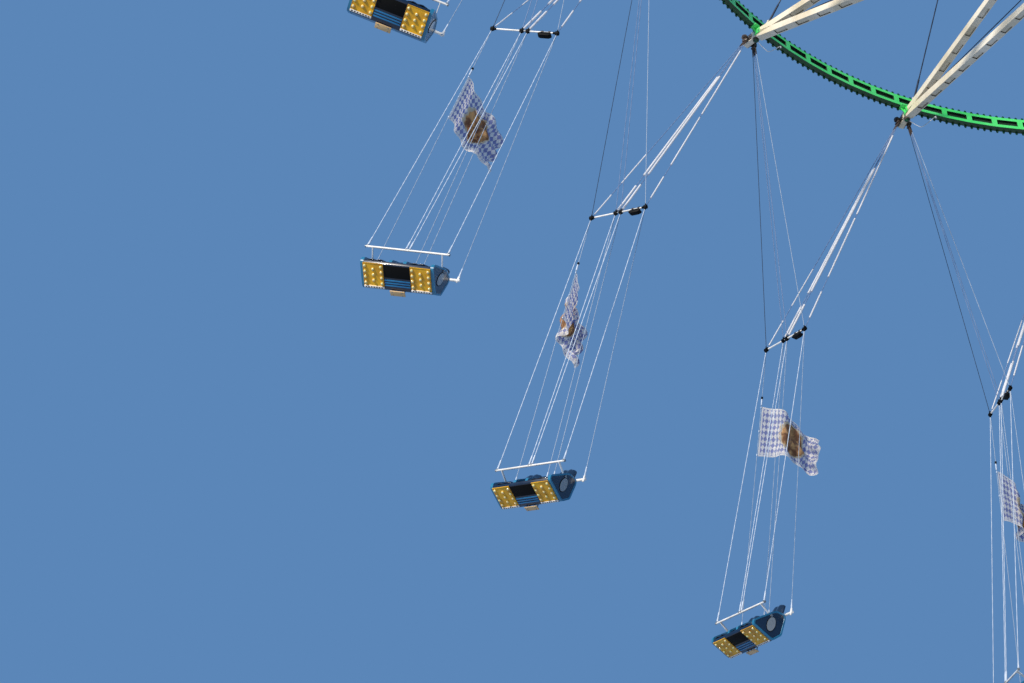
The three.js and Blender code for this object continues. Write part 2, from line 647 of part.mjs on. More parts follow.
function doubleSeat() {
  const pieces = [acrossSeat(TUB_SIDE, -SEAT_WIDTH / 2, SEAT_WIDTH / 2)];
  const halfBucket = BUCKET_WIDTH / 2;
  pieces.push(acrossSeat(LUG_SIDE, -LUG_MIDDLE.width / 2, LUG_MIDDLE.width / 2));
  [-1, 1].forEach((side) => {
    const middle = (side * SEAT_PITCH) / 2;
    const first = middle - halfBucket;
    const last = middle + halfBucket;
    pieces.push(acrossSeat(BACK_SIDE, first, last));
    pieces.push(acrossSeat(WING_SIDE, first, first + WING_THICKNESS));
    pieces.push(acrossSeat(WING_SIDE, last - WING_THICKNESS, last));
    const lugEnds = [side * LUG_OUTER.start, side * LUG_OUTER.end].sort((a, b) => a - b);
    pieces.push(acrossSeat(LUG_SIDE, ...lugEnds));
    const armX = side * (SEAT_WIDTH / 2 - WING_THICKNESS / 2);
    const pivot = vec(armX, BAR_ARM.y, BAR_ARM.z);
    pieces.push(beam(pivot, vec(armX, BAR_FORWARD, BAR_RISE), BAR_ARM.width, BAR_ARM.width));
  });
  const barStart = vec(-BAR_HALF_LENGTH, BAR_FORWARD, BAR_RISE);
  const barEnd = vec(BAR_HALF_LENGTH, BAR_FORWARD, BAR_RISE);
  pieces.push(beam(barStart, barEnd, BAR_WIDTH, BAR_WIDTH));
  return geometryOf(fuse(pieces)).applyMatrix4(SEAT_FRAME);
}

function buildSwings() {
  const swings = new THREE.Group();
  const suspensionGeometry = suspension();
  const seatGeometry = doubleSeat();
  for (let i = 0; i < ARM_COUNT; i += 1) {
    const swing = new THREE.Group();
    swing.rotation.z = FIRST_ARM_ANGLE + (i + 0.5) * ARM_STEP;
    addPiece(swing, `suspension_${i + 1}`, suspensionGeometry, whitePaint);
    addPiece(swing, `double_seat_${i + 1}`, seatGeometry, seatBlue);
    swings.add(swing);
  }
  return swings;
}

ride.add(buildMast(), buildBase(), buildCarriage(), buildRotor(), buildSwings());
export default ride;
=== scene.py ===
# %% [markdown]
# A chair swing ride: a lattice mast, a star of sixteen arms with a ring of lamps, and sixteen double
# seats that fly outward on ropes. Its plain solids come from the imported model. This lesson gives
# them finishes and adds what shows from close by: pocketed arms, a slotted ring, ropes with their
# sleeves, pennants, moulded seats, and the fittings of the tower. Shapes are drawn in the real ride's
# millimetres, because a maker thinks in those, and are scaled to the half-size model at the end.

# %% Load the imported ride
import json
import math
import random

import bmesh
import bpy
from mathutils import Matrix, Vector, geometry


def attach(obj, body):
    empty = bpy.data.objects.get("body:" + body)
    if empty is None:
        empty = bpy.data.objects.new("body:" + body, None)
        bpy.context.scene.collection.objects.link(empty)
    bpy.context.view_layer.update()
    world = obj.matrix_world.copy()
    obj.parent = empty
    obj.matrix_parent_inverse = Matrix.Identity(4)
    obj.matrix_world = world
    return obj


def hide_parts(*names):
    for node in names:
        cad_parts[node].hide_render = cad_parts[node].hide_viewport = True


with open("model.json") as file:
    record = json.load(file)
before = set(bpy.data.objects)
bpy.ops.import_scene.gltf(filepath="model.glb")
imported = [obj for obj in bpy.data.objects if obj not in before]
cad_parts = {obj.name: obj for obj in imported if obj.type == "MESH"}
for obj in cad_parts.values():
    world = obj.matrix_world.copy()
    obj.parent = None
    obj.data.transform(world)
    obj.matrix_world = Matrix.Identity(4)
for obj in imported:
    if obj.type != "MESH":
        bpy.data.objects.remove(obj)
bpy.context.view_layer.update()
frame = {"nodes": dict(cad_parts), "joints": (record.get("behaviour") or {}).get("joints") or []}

# %% [markdown]
# The sizes that everything hangs on are read from the joints: each swing's hinge lies on the chord
# between two arm tips, so its place gives the height, the reach and the angle of the arms.

# %% Main sizes, in the real ride's millimetres
METRES_PER_MM = 0.0005
X, Y, Z = Vector((1, 0, 0)), Vector((0, 1, 0)), Vector((0, 0, 1))
joint_places = {joint["name"]: Vector(joint.get("pos_m", (0, 0, 0))) for joint in frame["joints"]}
SWING_COUNT = sum(name.startswith("swing_hinge") for name in joint_places)
STEP = 2 * math.pi / SWING_COUNT
FIRST_HINGE = joint_places["swing_hinge_1"]
FIRST_SWING = math.atan2(FIRST_HINGE.y, FIRST_HINGE.x)
FIRST_ARM = FIRST_SWING - STEP / 2
TIP_HEIGHT = FIRST_HINGE.z / METRES_PER_MM
HINGE_RADIUS = FIRST_HINGE.xy.length / METRES_PER_MM
TIP_RADIUS = HINGE_RADIUS / math.cos(STEP / 2)
HALF_CHORD = TIP_RADIUS * math.sin(STEP / 2)
print(f"{SWING_COUNT} swings, arm tips {TIP_RADIUS:.0f} mm out and {TIP_HEIGHT:.0f} mm up")


def polar(radius, angle, height):
    return Vector((radius * math.cos(angle), radius * math.sin(angle), height))


# %% [markdown]
# Colours are picked as sRGB hex values, as a paint maker gives them, and the renderer wants linear
# light, so one function converts. A second one adds any node, sets it and links it, which keeps
# each finish down to the few lines that make it different.

# %% Colour and node helpers


def linear(code, alpha=1.0):
    values = [int(code[i:i + 2], 16) / 255 for i in (1, 3, 5)]
    return (*[v / 12.92 if v <= 0.04045 else ((v + 0.055) / 1.055) ** 2.4 for v in values], alpha)


def add_node(tree, kind, inputs=None, **options):
    made = tree.nodes.new(kind)
    for name, value in options.items():
        setattr(made, name, value)
    for key, value in (inputs or {}).items():
        if isinstance(value, bpy.types.NodeSocket):
            tree.links.new(value, made.inputs[key])
        else:
            made.inputs[key].default_value = value
    return made


def start_finish(name, **values):
    """A new material with its shader and the place of each point, in the ride's own frame"""
    material = bpy.data.materials.new(name)
    material.use_nodes = True
    tree = material.node_tree
    tree.nodes.clear()
    inputs = {key.replace("_", " ").title().replace("Ior", "IOR"): value for key, value in values.items()}
    shader = add_node(tree, "ShaderNodeBsdfPrincipled", inputs)
    add_node(tree, "ShaderNodeOutputMaterial", {"Surface": shader.outputs["BSDF"]})
    coordinates = add_node(tree, "ShaderNodeTexCoord")
    return material, tree, shader, coordinates.outputs["Object"]


def per_metre(real_mm):
    """The texture scale that gives features of a real size, on the half-size model"""
    return 1 / (real_mm * METRES_PER_MM)


def vary(tree, shader, factor, low, high, smooth, rough):
    """Colour from low to high and roughness from smooth to rough, as factor goes from 0 to 1"""
    colour = add_node(
        tree, "ShaderNodeMix", {0: factor, 6: linear(low), 7: linear(high)}, data_type="RGBA"
    )
    tree.links.new(colour.outputs[2], shader.inputs["Base Color"])
    sheen = add_node(tree, "ShaderNodeMapRange", {"Value": factor, "To Min": smooth, "To Max": rough})
    tree.links.new(sheen.outputs["Result"], shader.inputs["Roughness"])


def raise_surface(tree, shader, height, real_mm, strength=1.0):
    """Relief of a real depth from a height pattern"""
    relief = add_node(
        tree,
        "ShaderNodeBump",
        {"Height": height, "Distance": real_mm * METRES_PER_MM, "Strength": strength},
    )
    tree.links.new(relief.outputs["Normal"], shader.inputs["Normal"])


# %% [markdown]
# The mast, its braces and the bolts are hot-dip galvanised steel. Molten zinc freezes in crystals,
# so the eye sees a dull grey metal with a faint patchwork of spangles. Real ones are 30 mm wide at
# most. Voronoi cells draw them 60 mm wide, so that they show, and a large soft noise gives the clouds
# that years of rain leave.

# %% Galvanised and painted steel


def hot_dip_zinc():
    material, tree, shader, place = start_finish("hot_dip_zinc", metallic=0.75)
    spangle = add_node(tree, "ShaderNodeTexVoronoi", {"Vector": place, "Scale": per_metre(60)})
    clouds = add_node(
        tree, "ShaderNodeTexNoise", {"Vector": place, "Scale": per_metre(900), "Detail": 5.0}
    )
    mixed = add_node(
        tree,
        "ShaderNodeMix",
        {0: 0.45, 2: spangle.outputs["Distance"], 3: clouds.outputs["Fac"]},
    )
    vary(tree, shader, mixed.outputs[0], "#7b8287", "#a9afb2", 0.4, 0.65)
    raise_surface(tree, shader, spangle.outputs["Distance"], 0.6, 0.4)
    return material


def machine_enamel(name, low, high, smooth=0.32, rough=0.55, grime_mm=700):
    """Sprayed enamel over steel: a faint orange peel, and grime that rain has drawn downwards"""
    material, tree, shader, place = start_finish(name, coat_weight=0.25, coat_roughness=0.2)
    stretched = add_node(tree, "ShaderNodeMapping", {"Vector": place, "Scale": (1.0, 1.0, 0.3)})
    grime = add_node(
        tree,
        "ShaderNodeTexNoise",
        {
            "Vector": stretched.outputs["Vector"],
            "Scale": per_metre(grime_mm),
            "Detail": 8.0,
            "Roughness": 0.6,
        },
    )
    peel = add_node(
        tree, "ShaderNodeTexNoise", {"Vector": place, "Scale": per_metre(9), "Detail": 2.0}
    )
    sharper = add_node(
        tree,
        "ShaderNodeMapRange",
        {"Value": grime.outputs["Fac"], "From Min": 0.36, "From Max": 0.66},
    )
    vary(tree, shader, sharper.outputs["Result"], low, high, smooth, rough)
    raise_surface(tree, shader, peel.outputs["Fac"], 0.5, 0.25)
    return material


ZINC = hot_dip_zinc()
GREY_ENAMEL = machine_enamel("grey_machine_enamel", "#4d5358", "#6b7277")
CREAM_ENAMEL = machine_enamel("cream_arm_enamel", "#d3c6a8", "#eee6d3", 0.3, 0.5, 500)
BRACKET_ENAMEL = machine_enamel("dark_brown_bracket_enamel", "#2c2119", "#4a3a2e", 0.4, 0.6, 120)
GREEN_ENAMEL = machine_enamel("green_ring_enamel", "#3fd860", "#62f07e", 0.22, 0.36, 600)
# painted shade: a near-black green for the insides of the ring's slots, standing in for the shadow in
# them
GREEN_SLOT_SHADE = machine_enamel("dark_green_painted_shade_in_slots", "#03200f", "#07331a", 0.6, 0.8, 200)
# painted shade: a deeper green for the ring's underside, standing in for the shade under it
GREEN_UNDERSIDE_SHADE = machine_enamel("deep_green_painted_shade_underside", "#02320f", "#06491d", 0.35, 0.5, 300)
# painted shade: a dark brown for the walls of the arms' pockets, standing in for the shadow in them
POCKET_WALL_SHADE = machine_enamel("brown_painted_shade_in_pockets", "#2e2820", "#4a4236", 0.6, 0.8, 80)
TUBE_ENAMEL = machine_enamel("white_tube_powder_coat", "#dcdcd8", "#f7f7f4", 0.28, 0.45, 150)
YELLOW_ENAMEL = machine_enamel("yellow_panel_enamel", "#c08a04", "#efb70e", 0.3, 0.45, 160)

# %% [markdown]
# The lamps of the ring are cabochon caps: pressed polycarbonate, green in the mass, with a glossy
# skin. Unlit by day they look darker than the paint beside them. The lamps under the seats are
# opal, so their colour comes from inside, which a little subsurface scattering gives.

# %% Polycarbonate lamps


def lamp_polycarbonate(name, low, high, depth_mm):
    material, tree, shader, place = start_finish(
        name, ior=1.585, subsurface_weight=0.35, subsurface_scale=depth_mm * METRES_PER_MM
    )
    cloud = add_node(
        tree, "ShaderNodeTexNoise", {"Vector": place, "Scale": per_metre(30), "Detail": 3.0}
    )
    vary(tree, shader, cloud.outputs["Fac"], low, high, 0.08, 0.22)
    return material


GREEN_LAMP = lamp_polycarbonate("green_lamp_polycarbonate", "#012611", "#045027", 8)
OPAL_LAMP = lamp_polycarbonate("opal_lamp_polycarbonate", "#dccb84", "#f0e3ac", 12)
RED_LAMP = lamp_polycarbonate("red_beacon_polycarbonate", "#8d0c0c", "#d42020", 20)

# %% [markdown]
# The seats swing on steel wire ropes. A wire rope is strands laid in a helix: too fine for this
# picture, so the lay is drawn coarse, as slanting bands 150 mm apart along the rope. A wave texture
# turns ten radians for each unit of its scale, so 24 mm of rope to a radian gives that spacing.
# Some ropes carry a white PVC sleeve, which is what flashes in the sun; its lengths are laid where sun
# fell on the ropes, so they are partly painted sunlight. The lower ropes are plastic coated all along.

# %% Rope finishes
LAY_PER_RADIAN = 24
WAVE_RADIANS = 10


def laid_wire(name, low, high, metallic, smooth):
    material, tree, shader, place = start_finish(name, metallic=metallic)
    lay = add_node(
        tree,
        "ShaderNodeTexWave",
        {"Vector": place, "Scale": per_metre(LAY_PER_RADIAN) / WAVE_RADIANS, "Distortion": 0.4},
        bands_direction="DIAGONAL",
    )
    vary(tree, shader, lay.outputs["Fac"], low, high, smooth, smooth + 0.25)
    raise_surface(tree, shader, lay.outputs["Fac"], 0.8, 0.3)
    return material


def sleeve_pvc():
    material, tree, shader, place = start_finish("white_pvc_sleeve", ior=1.53)
    scuffs = add_node(
        tree, "ShaderNodeTexNoise", {"Vector": place, "Scale": per_metre(160), "Detail": 3.0}
    )
    vary(tree, shader, scuffs.outputs["Fac"], "#c8ccd2", "#e9e9ed", 0.25, 0.5)
    raise_surface(tree, shader, scuffs.outputs["Fac"], 1.0, 0.12)
    return material


BRIGHT_WIRE = laid_wire("bright_wire_rope", "#93a4b8", "#a9b8ca", 0.2, 0.45)
GREY_WIRE = laid_wire("grey_wire_rope", "#6a7fa3", "#7f92b4", 0.2, 0.45)
# This dark wire is also the leading side's outer rope, where its darkness is painted shade
DARK_WIRE = laid_wire("greased_wire_rope_and_painted_shade", "#1d283c", "#313f58", 0.3, 0.5)
COATED_ROPE = laid_wire("white_coated_rope", "#b4c6dc", "#cddaea", 0.0, 0.4)
SLEEVE = sleeve_pvc()

# %% [markdown]
# The seats are glass-fibre laminate with a pigmented gelcoat: glossy, with a very fine ripple from
# the mould and a mottle from years of use. The belts are woven polyester, the blocks on the
# spreader bar are rubber, and the plate under each seat is varnished plywood.

# %% Seat finishes


def gelcoat(name, low, high):
    material, tree, shader, place = start_finish(name, ior=1.5, coat_weight=0.5, coat_roughness=0.08)
    mottle = add_node(
        tree, "ShaderNodeTexNoise", {"Vector": place, "Scale": per_metre(140), "Detail": 3.0}
    )
    ripple = add_node(
        tree, "ShaderNodeTexNoise", {"Vector": place, "Scale": per_metre(35), "Detail": 2.0}
    )
    vary(tree, shader, mottle.outputs["Fac"], low, high, 0.22, 0.36)
    raise_surface(tree, shader, ripple.outputs["Fac"], 0.5, 0.05)
    return material


def moulded_rubber():
    material, tree, shader, place = start_finish("black_moulded_rubber_and_painted_shade", specular_ior_level=0.15)
    bloom = add_node(
        tree, "ShaderNodeTexNoise", {"Vector": place, "Scale": per_metre(40), "Detail": 6.0}
    )
    vary(tree, shader, bloom.outputs["Fac"], "#020303", "#0b0c0d", 0.5, 0.75)
    raise_surface(tree, shader, bloom.outputs["Fac"], 0.6, 0.5)
    return material


def plywood():
    material, tree, shader, place = start_finish("varnished_plywood", coat_weight=0.4)
    stretched = add_node(tree, "ShaderNodeMapping", {"Vector": place, "Scale": (0.15, 1.0, 1.0)})
    grain = add_node(
        tree,
        "ShaderNodeTexNoise",
        {
            "Vector": stretched.outputs["Vector"],
            "Scale": per_metre(12),
            "Detail": 6.0,
            "Distortion": 0.6,
        },
    )
    vary(tree, shader, grain.outputs["Fac"], "#bd965e", "#e3c594", 0.35, 0.5)
    raise_surface(tree, shader, grain.outputs["Fac"], 0.4, 0.4)
    return material


def webbing(name, low, high):
    """Polyester webbing, its 3 mm weave drawn 6 mm coarse so that it shows"""
    material, tree, shader, place = start_finish(name, sheen_weight=0.3)
    weave = add_node(tree, "ShaderNodeTexChecker", {"Vector": place, "Scale": per_metre(6)})
    vary(tree, shader, weave.outputs["Fac"], low, high, 0.65, 0.85)
    raise_surface(tree, shader, weave.outputs["Fac"], 0.8, 0.5)
    return material


NAVY_GELCOAT = gelcoat("navy_gelcoat", "#071629", "#0f2846")
TEAL_GELCOAT = gelcoat("teal_gelcoat", "#1a6389", "#2b82a8")
RIB_GELCOAT = gelcoat("bright_blue_gelcoat", "#10558c", "#1c7cb0")
BADGE_GELCOAT = gelcoat("pale_grey_gelcoat", "#7d858a", "#9aa1a4")
# The rubber finish also colours the black sheet under the seat, which is painted shade
RUBBER_AND_PAINTED_SHADE = moulded_rubber()
PLYWOOD = plywood()
RED_WEBBING = webbing("red_belt_webbing", "#8c1420", "#c0202e")

# %% [markdown]
# The pennants are thin printed polyester: blue and white lozenges, a common pattern, with a roundel
# of plain blotches in the middle. The pattern has to bend with the cloth, so it reads the piece's UV
# map, where one unit is the whole flag. A checker turned by 45 degrees and stretched gives lozenges.
# The distance from the middle, with some noise added so that it wanders, is cut in steps for the
# roundel. Thin cloth lets the sun through, so a translucent shader takes more than half of it.

# %% Printed flag cloth
FLAG_WIDTH = 1200
FLAG_HEIGHT = 800
LOZENGE_WIDTH = 62
LOZENGE_HEIGHT = 98
ROUNDEL_RADIUS = 250
ROUNDEL_RIM = 35
EDGE_WANDER = 150
BLOTCH_SIZE = 105
HEM_WIDTH = 26
WEAVE_SIZE = 5
TRANSLUCENT_SHARE = 0.6
CLOTH_WHITE = "#f8f5f2"


def lozenge_print(tree, chart):
    """Blue and white lozenges: a checker that is stretched and then turned by 45 degrees"""
    across = FLAG_WIDTH / LOZENGE_WIDTH * math.sqrt(2)
    along = FLAG_HEIGHT / LOZENGE_HEIGHT * math.sqrt(2)
    stretched = add_node(tree, "ShaderNodeMapping", {"Vector": chart, "Scale": (across, along, 0.0)})
    turned = add_node(
        tree,
        "ShaderNodeMapping",
        {
            "Vector": stretched.outputs["Vector"],
            "Rotation": (0.0, 0.0, math.radians(45)),
            "Location": (0.0, 0.0, 0.5),
        },
    )
    lozenges = add_node(
        tree,
        "ShaderNodeTexChecker",
        {
            "Vector": turned.outputs["Vector"],
            "Color1": linear(CLOTH_WHITE),
            "Color2": linear("#a8b0d8"),
            "Scale": 1.0,
        },
    )
    return lozenges.outputs["Color"]


def roundel_print(tree, place):
    """The roundel's blotches, and a distance from its middle that wanders with them"""
    blotches = add_node(
        tree,
        "ShaderNodeTexNoise",
        {"Vector": place, "Scale": 1 / BLOTCH_SIZE, "Detail": 3.0, "Distortion": 0.6},
    )
    sharper = add_node(
        tree,
        "ShaderNodeMapRange",
        {"Value": blotches.outputs["Fac"], "From Min": 0.4, "From Max": 0.6},
    )
    inks = add_node(
        tree,
        "ShaderNodeMix",
        {0: sharper.outputs["Result"], 6: linear("#a97b5c"), 7: linear("#f6cd94")},
        data_type="RGBA",
    )
    distance = add_node(tree, "ShaderNodeVectorMath", {0: place}, operation="LENGTH")
    wander = add_node(
        tree,
        "ShaderNodeMath",
        {0: blotches.outputs["Fac"], 1: EDGE_WANDER, 2: distance.outputs["Value"]},
        operation="MULTIPLY_ADD",
    )
    return inks.outputs[2], wander.outputs["Value"]


def flag_cloth():
    material, tree, shader, _ = start_finish("printed_flag_polyester", roughness=0.75, sheen_weight=0.4)
    chart = add_node(tree, "ShaderNodeUVMap", uv_map="print").outputs["UV"]
    middle = add_node(
        tree,
        "ShaderNodeMapping",
        {
            "Vector": chart,
            "Location": (-FLAG_WIDTH / 2, -FLAG_HEIGHT / 2, 0.0),
            "Scale": (FLAG_WIDTH, FLAG_HEIGHT, 0.0),
        },
    )
    place = middle.outputs["Vector"]
    colour = lozenge_print(tree, chart)
    blotches, wandering = roundel_print(tree, place)
    edge = add_node(tree, "ShaderNodeVectorMath", {0: place}, operation="ABSOLUTE")
    sides = add_node(tree, "ShaderNodeSeparateXYZ", {"Vector": edge.outputs["Vector"]})
    white = linear(CLOTH_WHITE)
    reach = ROUNDEL_RADIUS + EDGE_WANDER / 2
    prints = (
        (sides.outputs["X"], "GREATER_THAN", FLAG_WIDTH / 2 - HEM_WIDTH, white),
        (sides.outputs["Y"], "GREATER_THAN", FLAG_HEIGHT / 2 - HEM_WIDTH, white),
        (wandering, "LESS_THAN", reach + ROUNDEL_RIM, linear("#e9dcc6")),
        (wandering, "LESS_THAN", reach, blotches),
    )
    for value, test, limit, ink in prints:
        inside = add_node(tree, "ShaderNodeMath", {0: value, 1: limit}, operation=test)
        colour = add_node(
            tree,
            "ShaderNodeMix",
            {0: inside.outputs["Value"], 6: colour, 7: ink},
            data_type="RGBA",
        ).outputs[2]
    tree.links.new(colour, shader.inputs["Base Color"])
    weave = add_node(tree, "ShaderNodeTexChecker", {"Vector": place, "Scale": 1 / WEAVE_SIZE})
    raise_surface(tree, shader, weave.outputs["Fac"], 0.4, 0.3)
    glow = add_node(tree, "ShaderNodeBsdfTranslucent", {"Color": colour})
    cloth = add_node(
        tree,
        "ShaderNodeMixShader",
        {0: TRANSLUCENT_SHARE, 1: shader.outputs["BSDF"], 2: glow.outputs["BSDF"]},
    )
    output = tree.nodes["Material Output"]
    tree.links.new(cloth.outputs["Shader"], output.inputs["Surface"])
    return material


FLAG_CLOTH = flag_cloth()
print(len(bpy.data.materials), "materials")

# %% [markdown]
# Every steel part is drawn from a few shapes: a box, a bar or a tube between two points, a ring like
# a washer, a slab cut from an outline, and a section carried along a path. Each helper starts from
# one bmesh operator and a matrix, so a piece stands on a slope without any trigonometry of its own.

# %% Shape helpers


def faces_of(verts):
    return list({face for vert in verts for face in vert.link_faces})


def paint(verts, finish):
    for face in faces_of(verts):
        face.material_index = finish


def move(bm, matrix, verts=None):
    bmesh.ops.transform(bm, matrix=matrix, verts=bm.verts if verts is None else verts)


def rotation(angle, axis="Z"):
    return Matrix.Rotation(angle, 4, axis)


def frame_along(start, end, up=Z):
    """A frame in the middle of two points, with Z along them and Y as near to up as it can be"""
    along = (end - start).normalized()
    if abs(along.dot(up)) > 0.99:
        up = X
    side = up.cross(along).normalized()
    matrix = Matrix((side, along.cross(side), along)).transposed().to_4x4()
    matrix.translation = (start + end) / 2
    return matrix


def round_edges(bm, verts, offset, segments=2, finish=-1):
    edges = list({edge for vert in verts for edge in vert.link_edges})
    made = bmesh.ops.bevel(
        bm,
        geom=edges,
        offset=offset,
        segments=segments,
        profile=0.5,
        affect="EDGES",
        material=finish,
    )
    return made["verts"]


def add_box(bm, matrix, size, finish=0, rounding=0):
    made = bmesh.ops.create_cube(bm, size=1, matrix=matrix @ Matrix.Diagonal((*size, 1)))
    verts = made["verts"]
    paint(verts, finish)
    return round_edges(bm, verts, rounding, finish=finish) if rounding else verts


def add_block(bm, corner, opposite, finish=0, rounding=0):
    """An upright box between any two opposite corners"""
    corner, opposite = Vector(corner), Vector(opposite)
    size = [abs(length) for length in opposite - corner]
    return add_box(bm, Matrix.Translation((corner + opposite) / 2), size, finish, rounding)


def add_bar(bm, start, end, width, depth, finish=0, up=Z, rounding=0):
    size = (width, depth, (end - start).length)
    return add_box(bm, frame_along(start, end, up), size, finish, rounding)


def add_tube(bm, start, end, radius, finish=0, sides=8, end_radius=None):
    made = bmesh.ops.create_cone(
        bm,
        cap_ends=True,
        cap_tris=False,
        segments=sides,
        radius1=radius,
        radius2=radius if end_radius is None else end_radius,
        depth=(end - start).length,
        matrix=frame_along(start, end),
    )
    paint(made["verts"], finish)
    return made["verts"]


def add_stub(bm, foot, reach, radius, finish=0, sides=8, end_radius=None):
    """A tube from a point, as far as reach goes"""
    return add_tube(bm, foot, foot + reach, radius, finish, sides, end_radius)


def add_rod(bm, middle, half, radius, finish=0, sides=8):
    """A tube that goes equally far to both sides of a point"""
    return add_tube(bm, middle - half, middle + half, radius, finish, sides)


def add_washer(bm, matrix, inner, outer, thickness, finish=0, steps=16):
    """A ring of square section about the matrix's Z axis, spun from one corner outline"""
    half = thickness / 2
    corners = ((inner, -half), (outer, -half), (outer, half), (inner, half))
    outline = [bm.verts.new((x, 0, z)) for x, z in corners]
    edges = [bm.edges.new((outline[i - 1], outline[i])) for i in range(4)]
    before = set(bm.verts) - set(outline)
    bmesh.ops.spin(
        bm,
        geom=outline + edges,
        cent=(0, 0, 0),
        axis=(0, 0, 1),
        angle=2 * math.pi,
        steps=steps,
        use_merge=True,
    )
    verts = [vert for vert in bm.verts if vert not in before]
    bmesh.ops.recalc_face_normals(bm, faces=faces_of(verts))
    move(bm, matrix, verts)
    paint(verts, finish)
    return verts


def add_outline(bm, outline, x):
    """A flat face from Y and Z points, standing at one X"""
    return list(bm.faces.new([bm.verts.new((x, y, z)) for y, z in outline]).verts)


def thicken(bm, start, distance, finish):
    """Carries such a face along X, so that it becomes a solid"""
    grown = bmesh.ops.extrude_face_region(bm, geom=faces_of(start))["geom"]
    moved = [item for item in grown if isinstance(item, bmesh.types.BMVert)]
    bmesh.ops.translate(bm, verts=moved, vec=(distance, 0, 0))
    bmesh.ops.recalc_face_normals(bm, faces=faces_of(start + moved))
    paint(start + moved, finish)
    return start + moved


def add_slab(bm, outline, low, high, finish=0):
    """A side outline of Y and Z points, carried across from one X to another"""
    return thicken(bm, add_outline(bm, outline, low), high - low, finish)


def add_sweep(bm, points, section, finish=0, up=Z):
    """Carries a flat section along a path, extruding it from point to point"""
    places = []
    for index, point in enumerate(points):
        ahead = points[min(index + 1, len(points) - 1)]
        behind = points[max(index - 1, 0)]
        place = frame_along(behind, ahead, up)
        place.translation = point
        places.append(place)
    verts = [bm.verts.new(places[0] @ Vector((x, y, 0))) for x, y in section]
    face = bm.faces.new(verts)
    for last, place in zip(places, places[1:]):
        face = bmesh.ops.extrude_discrete_faces(bm, faces=[face])["faces"][0]
        verts += list(face.verts)
        move(bm, place @ last.inverted(), list(face.verts))
    rims = [edge for vert in verts for edge in vert.link_edges if edge.is_boundary]
    bmesh.ops.holes_fill(bm, edges=list(set(rims)))
    bmesh.ops.recalc_face_normals(bm, faces=faces_of(verts))
    paint(verts, finish)
    return verts


def round_section(radius, sides=6):
    step = 2 * math.pi / sides
    return [(radius * math.cos(i * step), radius * math.sin(i * step)) for i in range(sides)]


def flat_section(width, height):
    half_w, half_h = width / 2, height / 2
    return ((-half_w, -half_h), (half_w, -half_h), (half_w, half_h), (-half_w, half_h))


def soft_path(points, steps=6):
    """A smooth curve through a few points"""
    curve = []
    for index in range(len(points) - 1):
        before = points[max(index - 1, 0)]
        start, end = points[index], points[index + 1]
        after = points[min(index + 2, len(points) - 1)]
        leave = start + (end - before) / 6
        arrive = end - (after - start) / 6
        curve += geometry.interpolate_bezier(start, leave, arrive, end, steps + 1)[:-1]
    return [*curve, points[-1]]


def merge_into(bm, part, matrix=None):
    """Adds a part that was drawn by itself, placed by a matrix"""
    if matrix is not None:
        move(part, matrix)
    carrier = bpy.data.meshes.new("carrier")
    part.to_mesh(carrier)
    part.free()
    bm.from_mesh(carrier)
    bpy.data.meshes.remove(carrier)


# %% [markdown]
# A finished piece is a mesh whose place is already in its points, so its object stays at the origin
# and rides on a body by name. Faces that meet at a shallow angle are shaded smooth, and the rest
# keep their edges. A swing's pieces are drawn once, on the X axis, and turned to the sixteen places.

# %% Finish a piece


def mesh_of(name, bm, finishes, smooth_angle):
    move(bm, Matrix.Scale(METRES_PER_MM, 4))
    mesh = bpy.data.meshes.new(name)
    bm.to_mesh(mesh)
    bm.free()
    for finish in finishes:
        mesh.materials.append(finish)
    mesh.shade_smooth()
    mesh.set_sharp_from_angle(angle=math.radians(smooth_angle))
    return mesh


def place_piece(name, mesh, body, hides=()):
    piece = bpy.data.objects.new(name, mesh)
    bpy.context.scene.collection.objects.link(piece)
    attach(piece, body)
    if hides:
        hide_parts(*hides)
    return piece


def finish_piece(name, bm, finishes, body, hides=(), smooth_angle=35):
    piece = place_piece(name, mesh_of(name, bm, finishes, smooth_angle), body, hides)
    print(f"{name}: {len(piece.data.polygons)} faces")
    return piece


def swing_turn(number):
    return rotation(FIRST_SWING + (number - 1) * STEP)


def dress_swings(name, bm, finishes, hides="", smooth_angle=35):
    """Sixteen like pieces from one, each riding on its own swing"""
    pattern = mesh_of(name, bm, finishes, smooth_angle)
    print(f"{name}: {len(pattern.polygons)} faces on each swing")
    for number in range(1, SWING_COUNT + 1):
        mesh = pattern.copy()
        mesh.transform(swing_turn(number))
        hidden = [f"{hides}_{number}"] if hides else []
        place_piece(f"{name}_{number}", mesh, f"swing_{number}", hidden)
    bpy.data.meshes.remove(pattern)


# %% [markdown]
# Each arm is a triangle: a level chord above, a sloping strut below, and a stay from the crown of
# the cage. Chord and strut are box beams whose undersides and tops are pressed into shallow pockets
# to save weight. One beam is cut across at the pockets' ends, those faces are inset, and the inset
# faces are pushed in, which is how the press does it.
# The pockets' walls are painted dark brown, which is painted shade.

